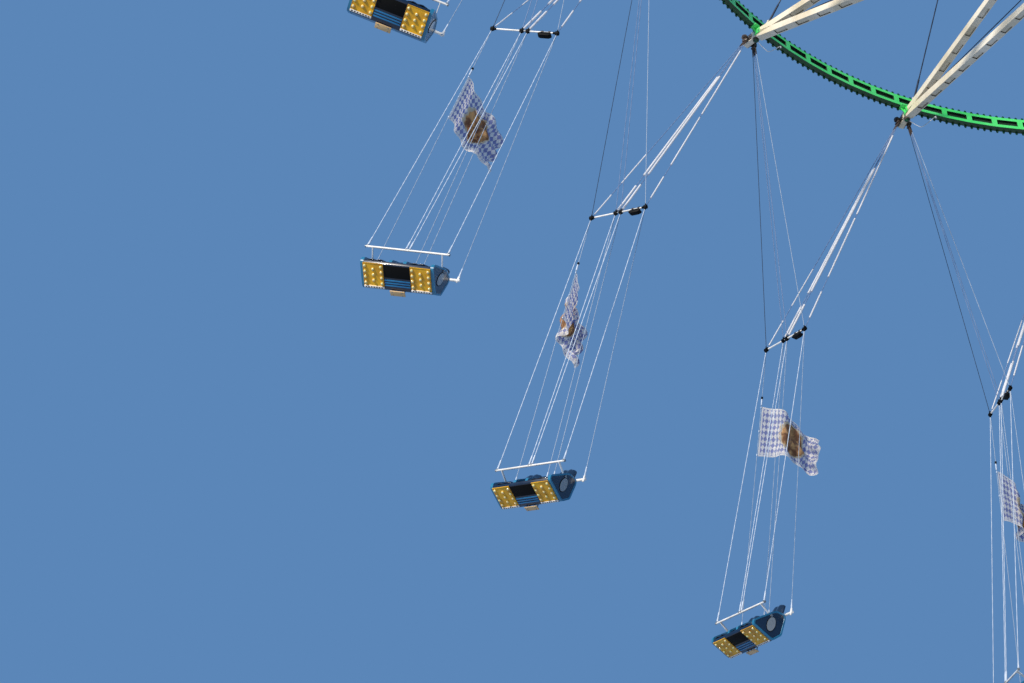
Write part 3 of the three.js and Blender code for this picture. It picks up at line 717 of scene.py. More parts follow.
# %% Arm sizes
CAGE_REACH = 2080
CHORD_ROOT_HEIGHT = TIP_HEIGHT - 780
STRUT_ROOT_HEIGHT = TIP_HEIGHT - 2400
STAY_HEAD_HEIGHT = TIP_HEIGHT + 5330
BEAM_WIDTH = 118
BEAM_DEPTH = 120
POCKET_PITCH = 435
POCKET_LENGTH = 262
POCKET_DEPTH = 17
POCKET_RIM = 17
BEAM_PLAIN_END = 240
TIP_INWARD = 260
TIP_OUTWARD = 70
TIP_WIDTH = 90
TIP_DEPTH = 130
RING_RADIUS = 7460
RING_HEIGHT = TIP_HEIGHT + 190
RING_WIDTH = 90
RING_DEPTH = 240
RING_BOTTOM = RING_HEIGHT - RING_DEPTH / 2
RING_TOP = RING_HEIGHT + RING_DEPTH / 2
PIN_RADIUS = 24
PIN_REACH = 145
ARM_CREAM, ARM_GREEN, ARM_BROWN, ARM_WIRE, ARM_ZINC, ARM_LAMP, ARM_WHITE, ARM_POCKET_SHADE = range(8)
ARM_FINISHES = [
    CREAM_ENAMEL,
    GREEN_ENAMEL,
    BRACKET_ENAMEL,
    DARK_WIRE,
    ZINC,
    GREEN_LAMP,
    TUBE_ENAMEL,
    POCKET_WALL_SHADE,
]

# %% A beam with pockets


def cut_across(bm, point, normal):
    """Cuts every face that a plane meets, and keeps what lies on both sides"""
    everything = bm.verts[:] + bm.edges[:] + bm.faces[:]
    bmesh.ops.bisect_plane(bm, geom=everything, plane_co=point, plane_no=normal)


def press_in(bm, faces, depth, finish):
    """Sinks faces straight in and gives each pocket, its walls too, a finish, which is a dark painted
    shade
    """
    for floor in bmesh.ops.extrude_discrete_faces(bm, faces=faces)["faces"]:
        bmesh.ops.translate(bm, verts=floor.verts, vec=floor.normal * -depth)
        paint(floor.verts, finish)


def add_pocketed_beam(bm, start, end):
    length = (end - start).length
    beam = bmesh.new()
    add_box(beam, Matrix.Identity(4), (BEAM_WIDTH, BEAM_DEPTH, length), ARM_CREAM)
    count = round((length - 2 * BEAM_PLAIN_END) / POCKET_PITCH)
    pitch = (length - 2 * BEAM_PLAIN_END) / count
    middles = [BEAM_PLAIN_END - length / 2 + (index + 0.5) * pitch for index in range(count)]
    for middle in middles:
        for side in (-1, 1):
            cut_across(beam, Z * (middle + side * POCKET_LENGTH / 2), Z)
    pressed = []
    for face in beam.faces:
        height = face.calc_center_median().z
        level = abs(face.normal.y) > 0.9
        if level and any(abs(height - middle) < POCKET_RIM for middle in middles):
            pressed.append(face)
    bmesh.ops.inset_individual(beam, faces=pressed, thickness=POCKET_RIM, use_even_offset=True)
    # painted shade: the pockets' floors and walls take the dark brown, and the floors go back to cream
    # below
    press_in(beam, pressed, POCKET_DEPTH, ARM_POCKET_SHADE)
    for face in beam.faces:
        if abs(face.normal.y) > 0.9:
            face.material_index = ARM_CREAM
    merge_into(bm, beam, frame_along(start, end))


# %% [markdown]
# The tip of an arm is crowded: a fitting with two pins, washers and nuts, where the two neighbour
# swings hang, a small lamp housing, the lead that drops from it to the ring, and the green saddle
# and gussets that carry the ring.

# %% An arm tip
PIN_PARTS = {
    "shaft": (0, PIN_REACH, PIN_RADIUS, 16),
    "washer": (127, 133, 38, 16),
    "nut": (133, 145, 32, 6),
    "collar": (50, 74, 36, 12),
}
CHEEK_THICKNESS = 14
CHEEK_HEIGHT = 104
CHEEK_INWARD = 130
CHEEK_OUTWARD = 62
CHEEK_BOLTS = (-108, -60, 44)
LAMP_INWARD = 150
HOUSING_DROP = 44
LAMP_DROP = 78
LEAD_RADIUS = 6
LEAD_SAG = 210


def add_pin(bm, tip, side):
    """Each part of the pin runs from one distance to another along it"""
    direction = polar(1, side * STEP / 2 + math.pi / 2, 0) * side
    for start, end, radius, sides in PIN_PARTS.values():
        add_tube(bm, tip + direction * start, tip + direction * end, radius, ARM_BROWN, sides)


def add_lead(bm, start, end):
    """The lamp's lead, which sags most in its middle and ends in a short gland"""
    middle = (start + end) / 2 - Z * LEAD_SAG
    knee = start.lerp(middle, 0.6) - Z * LEAD_SAG * 0.2
    add_sweep(bm, soft_path([start, knee, middle, end], 4), round_section(LEAD_RADIUS), ARM_WHITE)
    add_stub(bm, end, Z * -40, 2 * LEAD_RADIUS, ARM_WHITE)


def add_arm_tip(bm):
    tip = Vector((TIP_RADIUS, 0, TIP_HEIGHT))
    fitting = (TIP_RADIUS - TIP_INWARD, -TIP_WIDTH / 2, TIP_HEIGHT - TIP_DEPTH / 2)
    fitting_end = (TIP_RADIUS + TIP_OUTWARD, TIP_WIDTH / 2, TIP_HEIGHT + TIP_DEPTH / 2)
    add_block(bm, fitting, fitting_end, ARM_CREAM, 8)
    for side in (-1, 1):
        add_pin(bm, tip, side)
        cheek = tip + Y * side * (TIP_WIDTH / 2 + CHEEK_THICKNESS / 2)
        back, front = cheek - X * CHEEK_INWARD, cheek + X * CHEEK_OUTWARD
        add_bar(bm, back, front, CHEEK_THICKNESS, CHEEK_HEIGHT, ARM_BROWN, Z, 3)
        for reach in CHEEK_BOLTS:
            bolt = cheek + X * reach + Y * side * CHEEK_THICKNESS / 2
            add_stub(bm, bolt, Y * side * 12, 15, ARM_ZINC, 6)
    lamp = tip + Vector((-LAMP_INWARD, 0, -TIP_DEPTH / 2))
    add_stub(bm, lamp, Z * -HOUSING_DROP, 46, ARM_BROWN, 12)
    add_tube(bm, lamp - Z * HOUSING_DROP, lamp - Z * LAMP_DROP, 40, ARM_LAMP, 12, 16)
    ring_foot = polar(RING_RADIUS - 20, -STEP * 0.16, RING_BOTTOM)
    add_lead(bm, lamp - Z * 30, ring_foot)


# %% The ring's saddle on an arm
SADDLE_TOP = RING_BOTTOM - 1
SADDLE_BOTTOM = RING_BOTTOM - 17
SADDLE_HALF = 150
GUSSET_HALF = 7
WEB_START = 74
WEB_END = 140
WEB_HALF = 8


def add_ring_saddle(bm):
    """The green seat of the ring on the arm, with a gusset on each side of the chord"""
    inner = RING_RADIUS - RING_WIDTH / 2 - 36
    outer = RING_RADIUS + RING_WIDTH / 2 - 4
    seat = (inner, -SADDLE_HALF, SADDLE_BOTTOM), (outer, SADDLE_HALF, SADDLE_TOP)
    add_block(bm, *seat, ARM_GREEN, 3)
    for side in (-1, 1):
        beside = side * (BEAM_WIDTH / 2 + 8)
        low = (inner + 4, beside - GUSSET_HALF, TIP_HEIGHT - 66)
        high = (outer - 4, beside + GUSSET_HALF, SADDLE_BOTTOM + 2)
        add_block(bm, low, high, ARM_GREEN, 2)
        for reach in (inner + 26, outer - 26):
            for rise in (-44, -10):
                bolt = Vector((reach, beside + side * GUSSET_HALF, TIP_HEIGHT + rise))
                add_stub(bm, bolt, Y * side * 10, 12, ARM_ZINC, 6)
        start, end, top = side * WEB_START, side * WEB_END, SADDLE_BOTTOM + 1
        web = [(start, top), (end, top), (start, TIP_HEIGHT - 30)]
        add_slab(bm, web, RING_RADIUS - WEB_HALF, RING_RADIUS + WEB_HALF, ARM_GREEN)


# %% A whole arm
STAY_SOCKET = 420
STAY_SLEEVE = 400
STAY_LUG = 110
ROOT_PLATE = 210
ROOT_BOLT = 84
ROOT_FACE = 26


def add_root_plate(bm, root):
    """A square plate with four bolts, where a beam meets the cage"""
    add_bar(bm, root - X * 40, root + X * ROOT_FACE, ROOT_PLATE, ROOT_PLATE, ARM_CREAM, Z, 6)
    for side_y in (-1, 1):
        for side_z in (-1, 1):
            bolt = root + Vector((ROOT_FACE, side_y * ROOT_BOLT, side_z * ROOT_BOLT))
            add_stub(bm, bolt, X * 16, 18, ARM_ZINC, 6)


def add_stay(bm):
    """The stay from the cage's crown, with a socket above, a sleeve below and a lug at the ring"""
    head = Vector((CAGE_REACH, 0, STAY_HEAD_HEIGHT))
    foot = Vector((RING_RADIUS - RING_WIDTH / 2 - 110, 0, TIP_HEIGHT + 20))
    run = (foot - head).normalized()
    add_tube(bm, head, foot, 10, ARM_WIRE)
    add_stub(bm, head, run * STAY_SOCKET, 24, ARM_ZINC, 10, 15)
    add_tube(bm, foot - run * STAY_SLEEVE, foot - run * (STAY_LUG - 20), 16, ARM_WIRE, 10)
    add_bar(bm, foot - run * STAY_LUG, foot + run * 40, 26, 60, ARM_CREAM, Y, 4)


def arm_mesh():
    bm = bmesh.new()
    chord_root = Vector((CAGE_REACH, 0, CHORD_ROOT_HEIGHT))
    chord_tip = Vector((TIP_RADIUS - BEAM_DEPTH, 0, TIP_HEIGHT))
    strut_root = Vector((CAGE_REACH, 0, STRUT_ROOT_HEIGHT))
    strut_tip = Vector((TIP_RADIUS - TIP_INWARD * 0.9, 0, TIP_HEIGHT - BEAM_DEPTH / 2))
    add_pocketed_beam(bm, chord_root, chord_tip)
    add_pocketed_beam(bm, strut_root, strut_tip)
    add_root_plate(bm, chord_root)
    add_root_plate(bm, strut_root)
    add_stay(bm)
    cable_foot = chord_root.lerp(chord_tip, 0.9) - Z * BEAM_DEPTH / 2
    cable_head = chord_root.lerp(strut_root, 0.78)
    add_tube(bm, cable_foot, cable_head, 8, ARM_WIRE)
    add_arm_tip(bm)
    add_ring_saddle(bm)
    return bm


# %% [markdown]
# Four arms make a quadrant with its share of the three hub rims. The arm is drawn once, and spin
# with use_duplicate sets the other three round the axis, as a jig would.

# %% Four quadrants of arms
CAGE_RADIUS = 1930
CAGE_BAR = 150
HUB_RIM_WIDTH = 130
HUB_RIM_HEIGHT = 180
SEAM_GAP = 0.8
ARMS_IN_QUADRANT = SWING_COUNT // 4
RIM_STEPS = 4


def turn_copies(bm, verts, count, step):
    """Repeats these points and their faces round the mast, count times in all"""
    geom = list(verts) + list({edge for vert in verts for edge in vert.link_edges}) + faces_of(verts)
    bmesh.ops.spin(
        bm,
        geom=geom,
        cent=(0, 0, 0),
        axis=(0, 0, 1),
        angle=step * (count - 1),
        steps=count - 1,
        use_duplicate=True,
    )


def add_hub_rim(bm, height, start, end):
    radius = CAGE_RADIUS + (CAGE_BAR + HUB_RIM_WIDTH) / 2 + SEAM_GAP
    angles = [start + (end - start) * index / RIM_STEPS for index in range(RIM_STEPS + 1)]
    points = [polar(radius, angle, height) for angle in angles]
    add_sweep(bm, points, flat_section(HUB_RIM_WIDTH, HUB_RIM_HEIGHT), ARM_CREAM)


seam = SEAM_GAP / CAGE_RADIUS
for quadrant in range(4):
    bm = arm_mesh()
    turn_copies(bm, bm.verts[:], ARMS_IN_QUADRANT, STEP)
    first = FIRST_ARM + quadrant * ARMS_IN_QUADRANT * STEP
    move(bm, rotation(first))
    start, end = first - STEP / 2 + seam, first + (ARMS_IN_QUADRANT - 0.5) * STEP - seam
    for height in (CHORD_ROOT_HEIGHT, STRUT_ROOT_HEIGHT, STAY_HEAD_HEIGHT):
        add_hub_rim(bm, height, start, end)
    name, hidden = f"arms_{quadrant + 1}", [f"arm_quadrant_{quadrant + 1}"]
    finish_piece(name, bm, ARM_FINISHES, "rotor", hidden, 30)

# %% [markdown]
# The ring of lamps is a box girder rolled to a circle. Its two webs have long slots that lighten it,
# whose insides are painted near-black green as painted shade, and rows of cabochon lamps run along
# its top and bottom edges. Its underside is painted a deeper green than its webs, which is painted
# shade. It is drawn straight, as a long cube cut at every slot, and then rolled: each point's distance
# along it becomes an angle.

# %% Ring sizes and one lamp
SLOTS_PER_BAY = 7
BAYS = ARMS_IN_QUADRANT
SLOT_LENGTH = 330
SLOT_HEIGHT = 115
SLOT_DEPTH = 38
LAMPS_PER_BAY = 28
LAMP_RADIUS = 23
LAMP_SKIRT = 22
LAMP_HEIGHT = 46
LAMP_STEP = STEP / LAMPS_PER_BAY
RING_GREEN, RING_SLOT_SHADE, RING_LAMP, RING_UNDERSIDE_SHADE = range(4)


def add_cabochon(bm, radius, height, way):
    """One lamp: a skirt with a faceted crown, standing at the start of its row"""
    foot = Vector((radius, 0, height))
    rim, top = foot + Z * way * LAMP_SKIRT, foot + Z * way * LAMP_HEIGHT
    skirt = add_tube(bm, foot, rim, LAMP_RADIUS, RING_LAMP, 8, LAMP_RADIUS * 0.92)
    return skirt + add_tube(bm, rim, top, LAMP_RADIUS * 0.9, RING_LAMP, 8, 7)


# %% The slotted girder


def ring_girder(angle):
    length = RING_RADIUS * angle
    pitch = length / (SLOTS_PER_BAY * BAYS)
    girder = bmesh.new()
    add_box(girder, Matrix.Translation(X * length / 2), (length, RING_WIDTH, RING_DEPTH), RING_GREEN)
    middles = [(index + 0.5) * pitch for index in range(SLOTS_PER_BAY * BAYS)]
    for side in (-1, 1):
        cut_across(girder, Z * side * SLOT_HEIGHT / 2, Z)
    for middle in middles:
        for side in (-1, 1):
            cut_across(girder, X * (middle + side * SLOT_LENGTH / 2), X)
    slots = []
    for face in girder.faces:
        centre = face.calc_center_median()
        upright = abs(face.normal.y) > 0.9 and abs(centre.z) < 1
        if upright and any(abs(centre.x - middle) < 1 for middle in middles):
            slots.append(face)
    # painted shade: the slots' floors and walls take the near-black green
    press_in(girder, slots, SLOT_DEPTH, RING_SLOT_SHADE)
    for face in girder.faces:
        # painted shade: the bottom face takes the deeper green
        if face.normal.z < -0.9 and face.calc_center_median().z < -RING_DEPTH / 2 + 1:
            face.material_index = RING_UNDERSIDE_SHADE
    for vert in girder.verts:
        vert.co = polar(RING_RADIUS - vert.co.y, vert.co.x / RING_RADIUS, vert.co.z + RING_HEIGHT)
    return girder


# %% [markdown]
# Rolling turns the straight girder's Y into the way to the axis, so its faces keep pointing out.
# Each quadrant gets two rows of lamps: one stands on the inner edge of the top, where it shows above
# the slotted web, and one hangs from the outer edge of the bottom, where it stands out like teeth.

# %% Four quadrants of the ring
RING_FINISHES = [GREEN_ENAMEL, GREEN_SLOT_SHADE, GREEN_LAMP, GREEN_UNDERSIDE_SHADE]
LAMP_ROWS_OF_RING = (
    (RING_RADIUS - RING_WIDTH / 2 + 8, RING_TOP - 1, 1),
    (RING_RADIUS + RING_WIDTH / 2 - 4, RING_BOTTOM + 1, -1),
)
seam = SEAM_GAP / RING_RADIUS
for quadrant in range(4):
    bm = ring_girder(BAYS * STEP - 2 * seam)
    for radius, height, way in LAMP_ROWS_OF_RING:
        lamp = add_cabochon(bm, radius, height, way)
        move(bm, rotation(LAMP_STEP / 2), lamp)
        turn_copies(bm, lamp, LAMPS_PER_BAY * BAYS, LAMP_STEP)
    move(bm, rotation(FIRST_ARM + (quadrant * BAYS - 0.5) * STEP + seam))
    name, hidden = f"lamp_ring_{quadrant + 1}", [f"light_ring_{quadrant + 1}"]
    finish_piece(name, bm, RING_FINISHES, "rotor", hidden, 20)

# %% [markdown]
# A swing hangs from two arm tips. Four ropes come down from each tip to a spreader bar, and eight
# more go on to the seat: four to the lap bar in front and four to the lugs behind the backs. It is
# drawn with X outward, Y the way the seat faces and Z up. In flight the whole set leans outward.

# %% Swing sizes
UPPER_DROP = 4620
UPPER_LEAN = math.radians(22.24)
LOWER_DROP = 4960
LOWER_LEAN = math.radians(23.14)
SEAT_LAG = 100
SPREADER_REACH = 484
MIDDLE_KNOB = 46
HANGER_INSET = 100
HANGER_HALF = 48
BAR_FORWARD = 76
BAR_RISE = 424
BAR_ROPE_X = 580
LUG_Y = -377
LUG_TOP = 460
LUG_X = (-620, -60, 60, 620)
BAR_X = (-BAR_ROPE_X, -24, 24, BAR_ROPE_X)
KNOBS = (-SPREADER_REACH, -MIDDLE_KNOB, MIDDLE_KNOB, SPREADER_REACH)
SPREADER_AXIS = Vector((math.cos(UPPER_LEAN), 0, math.sin(UPPER_LEAN)))
SPREADER_CENTRE = Vector(
    (
        HINGE_RADIUS + UPPER_DROP * math.sin(UPPER_LEAN),
        0,
        TIP_HEIGHT - UPPER_DROP * math.cos(UPPER_LEAN),
    )
)
SEAT_ORIGIN = SPREADER_CENTRE + Vector(
    (LOWER_DROP * math.sin(LOWER_LEAN), -SEAT_LAG, -LOWER_DROP * math.cos(LOWER_LEAN))
)
SEAT_OUTWARD = Vector((math.cos(LOWER_LEAN), 0, math.sin(LOWER_LEAN)))
SEAT_UP = (SPREADER_CENTRE - SEAT_ORIGIN).normalized()
SEAT_FRAME = Matrix((SEAT_OUTWARD, SEAT_UP.cross(SEAT_OUTWARD), SEAT_UP)).transposed().to_4x4()
SEAT_FRAME.translation = SEAT_ORIGIN

# %% [markdown]
# On the trailing side the upper ropes wear lengths of white sleeve, with bare grey wire between and
# near the tip. The sleeves are laid where sun fell on the ropes and the gaps where shadow fell, so the
# sleeves are partly painted sunlight and the grey gaps painted shadow. On the leading side they are
# bare: a dark one outside, two grey ones and a bright one inside, the same wire in painted shade and
# painted light. The table gives each rope's place on the spreader, its sleeves' radius and where they
# run, as shares of the way down.

# %% Ropes of one swing
SLEEVES_AT_SUNLIT_STRETCHES = (
    (-SPREADER_REACH, 13, ((0.07, 0.46), (0.48, 0.76), (0.83, 0.95))),
    (-MIDDLE_KNOB, 17, ((0.22, 0.79), (0.85, 0.985))),
    (MIDDLE_KNOB, 17, ((0.22, 0.79), (0.85, 0.985))),
    (SPREADER_REACH, 10, ((0.65, 0.81), (0.875, 0.98))),
)
WIRE_RADIUS = 5.5
FRONT_ROPE_RADIUS = 5.8
REAR_ROPE_RADIUS = 4.2
ROPE_FINISHES = [
    SLEEVE,
    BRIGHT_WIRE,
    GREY_WIRE,
    DARK_WIRE,
    COATED_ROPE,
    RUBBER_AND_PAINTED_SHADE,
    TUBE_ENAMEL,
    BRACKET_ENAMEL,
    ZINC,
]
(
    ROPE_SLEEVE,
    ROPE_BRIGHT,
    ROPE_GREY,
    ROPE_DARK,
    ROPE_COATED,
    ROPE_RUBBER,
    ROPE_TUBE,
    ROPE_BRACKET,
    ROPE_ZINC,
) = range(9)
# painted light and shade: the same bare wire in four tones, bright, grey, grey and dark, as each rope
# caught or missed the light
LEADING_LIT_AND_SHADED_TONES = (ROPE_BRIGHT, ROPE_GREY, ROPE_GREY, ROPE_DARK)
ROPE_PITCH = 22
SOCKET_LENGTH = 130
BOOT_LENGTH = 55


def knob_at(offset):
    return SPREADER_CENTRE + SPREADER_AXIS * offset


def hanger_foot(side, index):
    """Where one of the four ropes leaves the hanger's foot"""
    across = (index - 1.5) * ROPE_PITCH
    height = TIP_HEIGHT - HANGER_HALF - 34
    return Vector((HINGE_RADIUS + across, side * (HALF_CHORD - HANGER_INSET), height))


def add_upper_ropes(bm):
    for index, (offset, radius, stretches) in enumerate(SLEEVES_AT_SUNLIT_STRETCHES):
        end = knob_at(offset)
        trailing, leading = hanger_foot(-1, index), hanger_foot(1, index)
        add_tube(bm, trailing, end, WIRE_RADIUS, ROPE_GREY)
        # painted light: the sleeves stand where sun fell, and the grey wire between them where shadow
        # fell
        for stretch in stretches:
            first, last = (trailing.lerp(end, share) for share in stretch)
            add_tube(bm, first, last, radius, ROPE_SLEEVE, 10)
        add_tube(bm, leading, end, WIRE_RADIUS - 1, LEADING_LIT_AND_SHADED_TONES[index])
        for start in (trailing, leading):
            run = (end - start).normalized()
            add_stub(bm, start, run * SOCKET_LENGTH, 11, ROPE_BRACKET, 8, 8)
            add_tube(bm, end - run * BOOT_LENGTH, end, 8, ROPE_RUBBER, 8, 12)


# %% Lower ropes with their end fittings
FLAG_START = 0.205
HOIST_GAP = 14
TIE_SHARES = (0.02, 0.5, 0.98)
STOP_START = 155
STOP_END = 120
THIMBLE_LENGTH = 150


def seat_point(x, y, z):
    return SEAT_FRAME @ Vector((x, y, z))


def flag_rope():
    """The pennant's top corner on its rope, the way down that rope, and the way it streams"""
    top, foot = knob_at(SPREADER_REACH), seat_point(LUG_X[3], LUG_Y, LUG_TOP)
    down = (foot - top).normalized()
    return top.lerp(foot, FLAG_START), down, down.cross(SEAT_OUTWARD).normalized()


def add_flag_ties(bm):
    """A rubber stop with a white sleeve above the pennant, and three ties along its hoist"""
    corner, down, back = flag_rope()
    add_tube(bm, corner - down * STOP_END, corner - down * 20, 12, ROPE_COATED)
    add_tube(bm, corner - down * STOP_START, corner - down * STOP_END, 17, ROPE_RUBBER)
    for share in TIE_SHARES:
        tie = corner + down * FLAG_HEIGHT * share
        add_rod(bm, tie, down * 12, 9, ROPE_COATED)
        add_bar(bm, tie, tie + back * (HOIST_GAP + 8), 5, 18, ROPE_COATED, down)


def add_lower_ropes(bm):
    for knob, bar_x, lug_x in zip(KNOBS, BAR_X, LUG_X):
        start = knob_at(knob)
        bar = seat_point(bar_x, BAR_FORWARD, BAR_RISE + 21)
        lug = seat_point(lug_x, LUG_Y, LUG_TOP + 12)
        add_tube(bm, start, bar, FRONT_ROPE_RADIUS, ROPE_COATED)
        add_tube(bm, start, lug, REAR_ROPE_RADIUS, ROPE_BRIGHT)
        for end, radius in ((bar, 11), (lug, 9)):
            run = (end - start).normalized()
            add_stub(bm, start, run * 48, 12, ROPE_RUBBER, 8, 8)
            add_tube(bm, end - run * THIMBLE_LENGTH, end, radius, ROPE_COATED, 8, radius + 3)
    add_flag_ties(bm)


# %% [markdown]
# The hanger turns on the tip's pin, so it is a ring with a shank and a foot for four rope sockets.
# The spreader is two white tubes between rubber knobs, and under its inner half hangs a flat
# rubber box, tapered at both ends, on two short straps.

# %% Hangers and spreader
KNOB_RADIUS = 31


def add_hanger(bm, side):
    centre = Vector((HINGE_RADIUS, side * (HALF_CHORD - HANGER_INSET), TIP_HEIGHT))
    place = Matrix.Translation(centre) @ rotation(math.pi / 2, "X")
    add_washer(bm, place, PIN_RADIUS + 3, HANGER_HALF, 46, ROPE_BRACKET, 20)
    shank = centre - Z * (HANGER_HALF + 16)
    add_bar(bm, centre - Z * (HANGER_HALF - 12), shank, 44, 54, ROPE_BRACKET, X, 5)
    add_block(bm, shank - Vector((48, 24, 22)), shank + Vector((48, 24, 6)), ROPE_BRACKET, 6)


def add_spreader(bm):
    for side in (-1, 1):
        start, end = knob_at(side * MIDDLE_KNOB), knob_at(side * SPREADER_REACH)
        add_tube(bm, start, end, 13, ROPE_TUBE, 12)
        collar = [end - SPREADER_AXIS * side * inward for inward in (60, 20)]
        add_tube(bm, *collar, 18, ROPE_RUBBER, 12)
    add_tube(bm, knob_at(-MIDDLE_KNOB), knob_at(MIDDLE_KNOB), 12, ROPE_ZINC, 12)
    below = Y.cross(SPREADER_AXIS)
    for offset in KNOBS:
        knob = knob_at(offset)
        block = add_rod(bm, knob, SPREADER_AXIS * 26, KNOB_RADIUS, ROPE_RUBBER, 14)
        round_edges(bm, block, 5, 2, ROPE_RUBBER)
        add_bar(bm, knob - below * 40, knob + below * 40, 34, 30, ROPE_RUBBER, Y, 6)


# %% The rope box
BOX_OFFSET = -317
BOX_DROP = 58
BOX_HALF_DEPTH = 35
BOX_OUTLINE = ((-98, -12), (-98, 12), (-62, 32), (62, 32), (98, 12), (98, -12), (62, -32), (-62, -32))
STRAP_REACH = 52
STRAP_WIDTH = 26


def add_rope_box(bm):
    """A flat box tapered at both ends, on two straps, drawn from its side outline"""
    below = Y.cross(SPREADER_AXIS)
    box = add_slab(bm, BOX_OUTLINE, -BOX_HALF_DEPTH, BOX_HALF_DEPTH, ROPE_RUBBER)
    place = Matrix((Y, SPREADER_AXIS, below)).transposed().to_4x4()
    place.translation = knob_at(BOX_OFFSET) + below * BOX_DROP
    move(bm, place, box)
    round_edges(bm, box, 5, 2, ROPE_RUBBER)
    for reach in (-STRAP_REACH, STRAP_REACH):
        strap = knob_at(BOX_OFFSET + reach)
        add_bar(bm, strap, strap + below * 40, STRAP_WIDTH, 8, ROPE_BRACKET, SPREADER_AXIS, 2)
        half = SPREADER_AXIS * STRAP_WIDTH / 2
        add_washer(bm, frame_along(strap - half, strap + half), 16, 24, STRAP_WIDTH, ROPE_BRACKET, 14)


bm = bmesh.new()
add_upper_ropes(bm)
add_lower_ropes(bm)
add_hanger(bm, -1)
add_hanger(bm, 1)
add_spreader(bm)
add_rope_box(bm)
dress_swings("ropes", bm, ROPE_FINISHES, "suspension")

# %% [markdown]
# The double seat is two moulded buckets side by side, each between two side walls, on a shared tub.
# Its underside is what shows from the ground: a yellow panel with opal lamps under each bucket, a
# ribbed blue panel between them, with a black sheet before its ribs that is painted shade, and a
# small plywood plate at the rear. Sizes are in the seat's own frame, from the middle of the two panels.

# %% Seat sizes
SEAT_HALF_WIDTH = 525
BUCKET_MIDDLE = 303
BUCKET_INNER_HALF = 178
WALL = 44
PANEL_MIDDLE = 340
PANEL_WIDTH = 290
PANEL_LENGTH = 326
PANEL_SLOPE = math.radians(19.3)
TUB_OUTLINE = ((165, 100), (154, 54), (-154, -54), (-205, -56), (-330, 60))
WALL_OUTLINE = (
    (158, 62),
    (164, 140),
    (60, 224),
    (-150, 382),
    (-205, 404),
    (-350, 404),
    (-368, 330),
    (-338, 66),
    (-208, -55),
    (-150, -50),
)
SEAT_NAVY, SEAT_TEAL, SEAT_RIB, SEAT_BADGE, SEAT_DARK, SEAT_PLY, SEAT_ZINC = range(7)
SEAT_FINISHES = [NAVY_GELCOAT, TEAL_GELCOAT, RIB_GELCOAT, BADGE_GELCOAT, RUBBER_AND_PAINTED_SHADE, PLYWOOD, ZINC]

# %% [markdown]
# A bucket is a thin laminate, so it starts as a flat grid with no thickness. The grid's rows follow
# a smooth line from the front lip over the pan and up the back, its columns rise a little at both
# sides, and two shallow hollows fit the thighs. Solidify gives the laminate's thickness and one
# level of subdivision takes out the last flats.

# %% The bucket shell
BUCKET_LINE = (
    (174, 98),
    (156, 116),
    (70, 112),
    (-70, 98),
    (-150, 92),
    (-205, 112),
    (-240, 190),
    (-284, 340),
    (-322, 500),
    (-344, 585),
    (-366, 604),
)
SHELL_THICKNESS = 13
SHELL_COLUMNS = 10
RIM_SHARE = 0.38
RIM_LIFT = 42
THIGH_LIFT = 9
SHOULDER_HEIGHT = 430
HEAD_HEIGHT = 600
HEAD_PINCH = 0.16


def bucket_shell(middle):
    line = soft_path([Vector((0, y, z)) for y, z in BUCKET_LINE], 2)
    shell = bmesh.new()
    bmesh.ops.create_grid(shell, x_segments=SHELL_COLUMNS, y_segments=len(line) - 1, size=1)
    for vert in shell.verts:
        across = vert.co.x
        row = round((vert.co.y + 1) / 2 * (len(line) - 1))
        ahead, behind = line[min(row + 1, len(line) - 1)], line[max(row - 1, 0)]
        raised = (ahead - behind).cross(X).normalized()
        edge = max(0, (abs(across) - 1 + RIM_SHARE) / RIM_SHARE)
        lift = RIM_LIFT * edge ** 2 + THIGH_LIFT * math.cos(across * 3 * math.pi) * (1 - edge)
        above = max(0, (line[row].z - SHOULDER_HEIGHT) / (HEAD_HEIGHT - SHOULDER_HEIGHT))
        half = (BUCKET_INNER_HALF - 3) * (1 - HEAD_PINCH * above ** 2)
        place = line[row] - raised * lift
        vert.co = Vector((middle + across * half, place.y, place.z))
    bmesh.ops.recalc_face_normals(shell, faces=shell.faces)
    return shell


def settle(bm, thickness, levels):
    """Gives a shell its thickness and smooths it, through modifiers that are applied at once"""
    mesh = bpy.data.meshes.new("shell")
    bm.to_mesh(mesh)
    bm.free()
    shell = bpy.data.objects.new("shell", mesh)
    bpy.context.scene.collection.objects.link(shell)
    wall = shell.modifiers.new("wall", "SOLIDIFY")
    wall.thickness = thickness
    wall.offset = 0
    curve = shell.modifiers.new("curve", "SUBSURF")
    curve.levels = levels
    curve.render_levels = levels
    made = bmesh.new()
    made.from_object(shell, bpy.context.evaluated_depsgraph_get())
    bpy.data.objects.remove(shell)
    bpy.data.meshes.remove(mesh)
    return made


bm = bmesh.new()
for side in (-1, 1):
    merge_into(bm, settle(bucket_shell(side * BUCKET_MIDDLE), SHELL_THICKNESS, 1))
move(bm, SEAT_FRAME)
dress_swings("buckets", bm, [NAVY_GELCOAT], "", 60)

# %% [markdown]
# The side walls are flat mouldings with a teal rim round a navy field. Each starts as an outline
# with rounded corners, is extruded to its thickness, and the rim comes from insetting the big faces.
# The outer walls carry a plain oval badge.

# %% Side walls
CORNER_ROUNDING = 26
RIM_WIDTH = 24
FIELD_BEVEL = 4
FIELD_DEPTH = 5
BADGE_DISCS = ((76, 126, 5, SEAT_DARK), (66, 116, 8, SEAT_BADGE))
BADGE_Y = -136
BADGE_Z = 172
BADGE_TILT = math.radians(14)


def sink_faces(bm, faces, border, bevel, depth):
    """Leaves a border round each face and sets the rest back behind a small bevel"""
    bmesh.ops.inset_individual(bm, faces=faces, thickness=border, use_even_offset=True)
    bmesh.ops.inset_individual(bm, faces=faces, thickness=bevel, depth=-depth, use_even_offset=True)


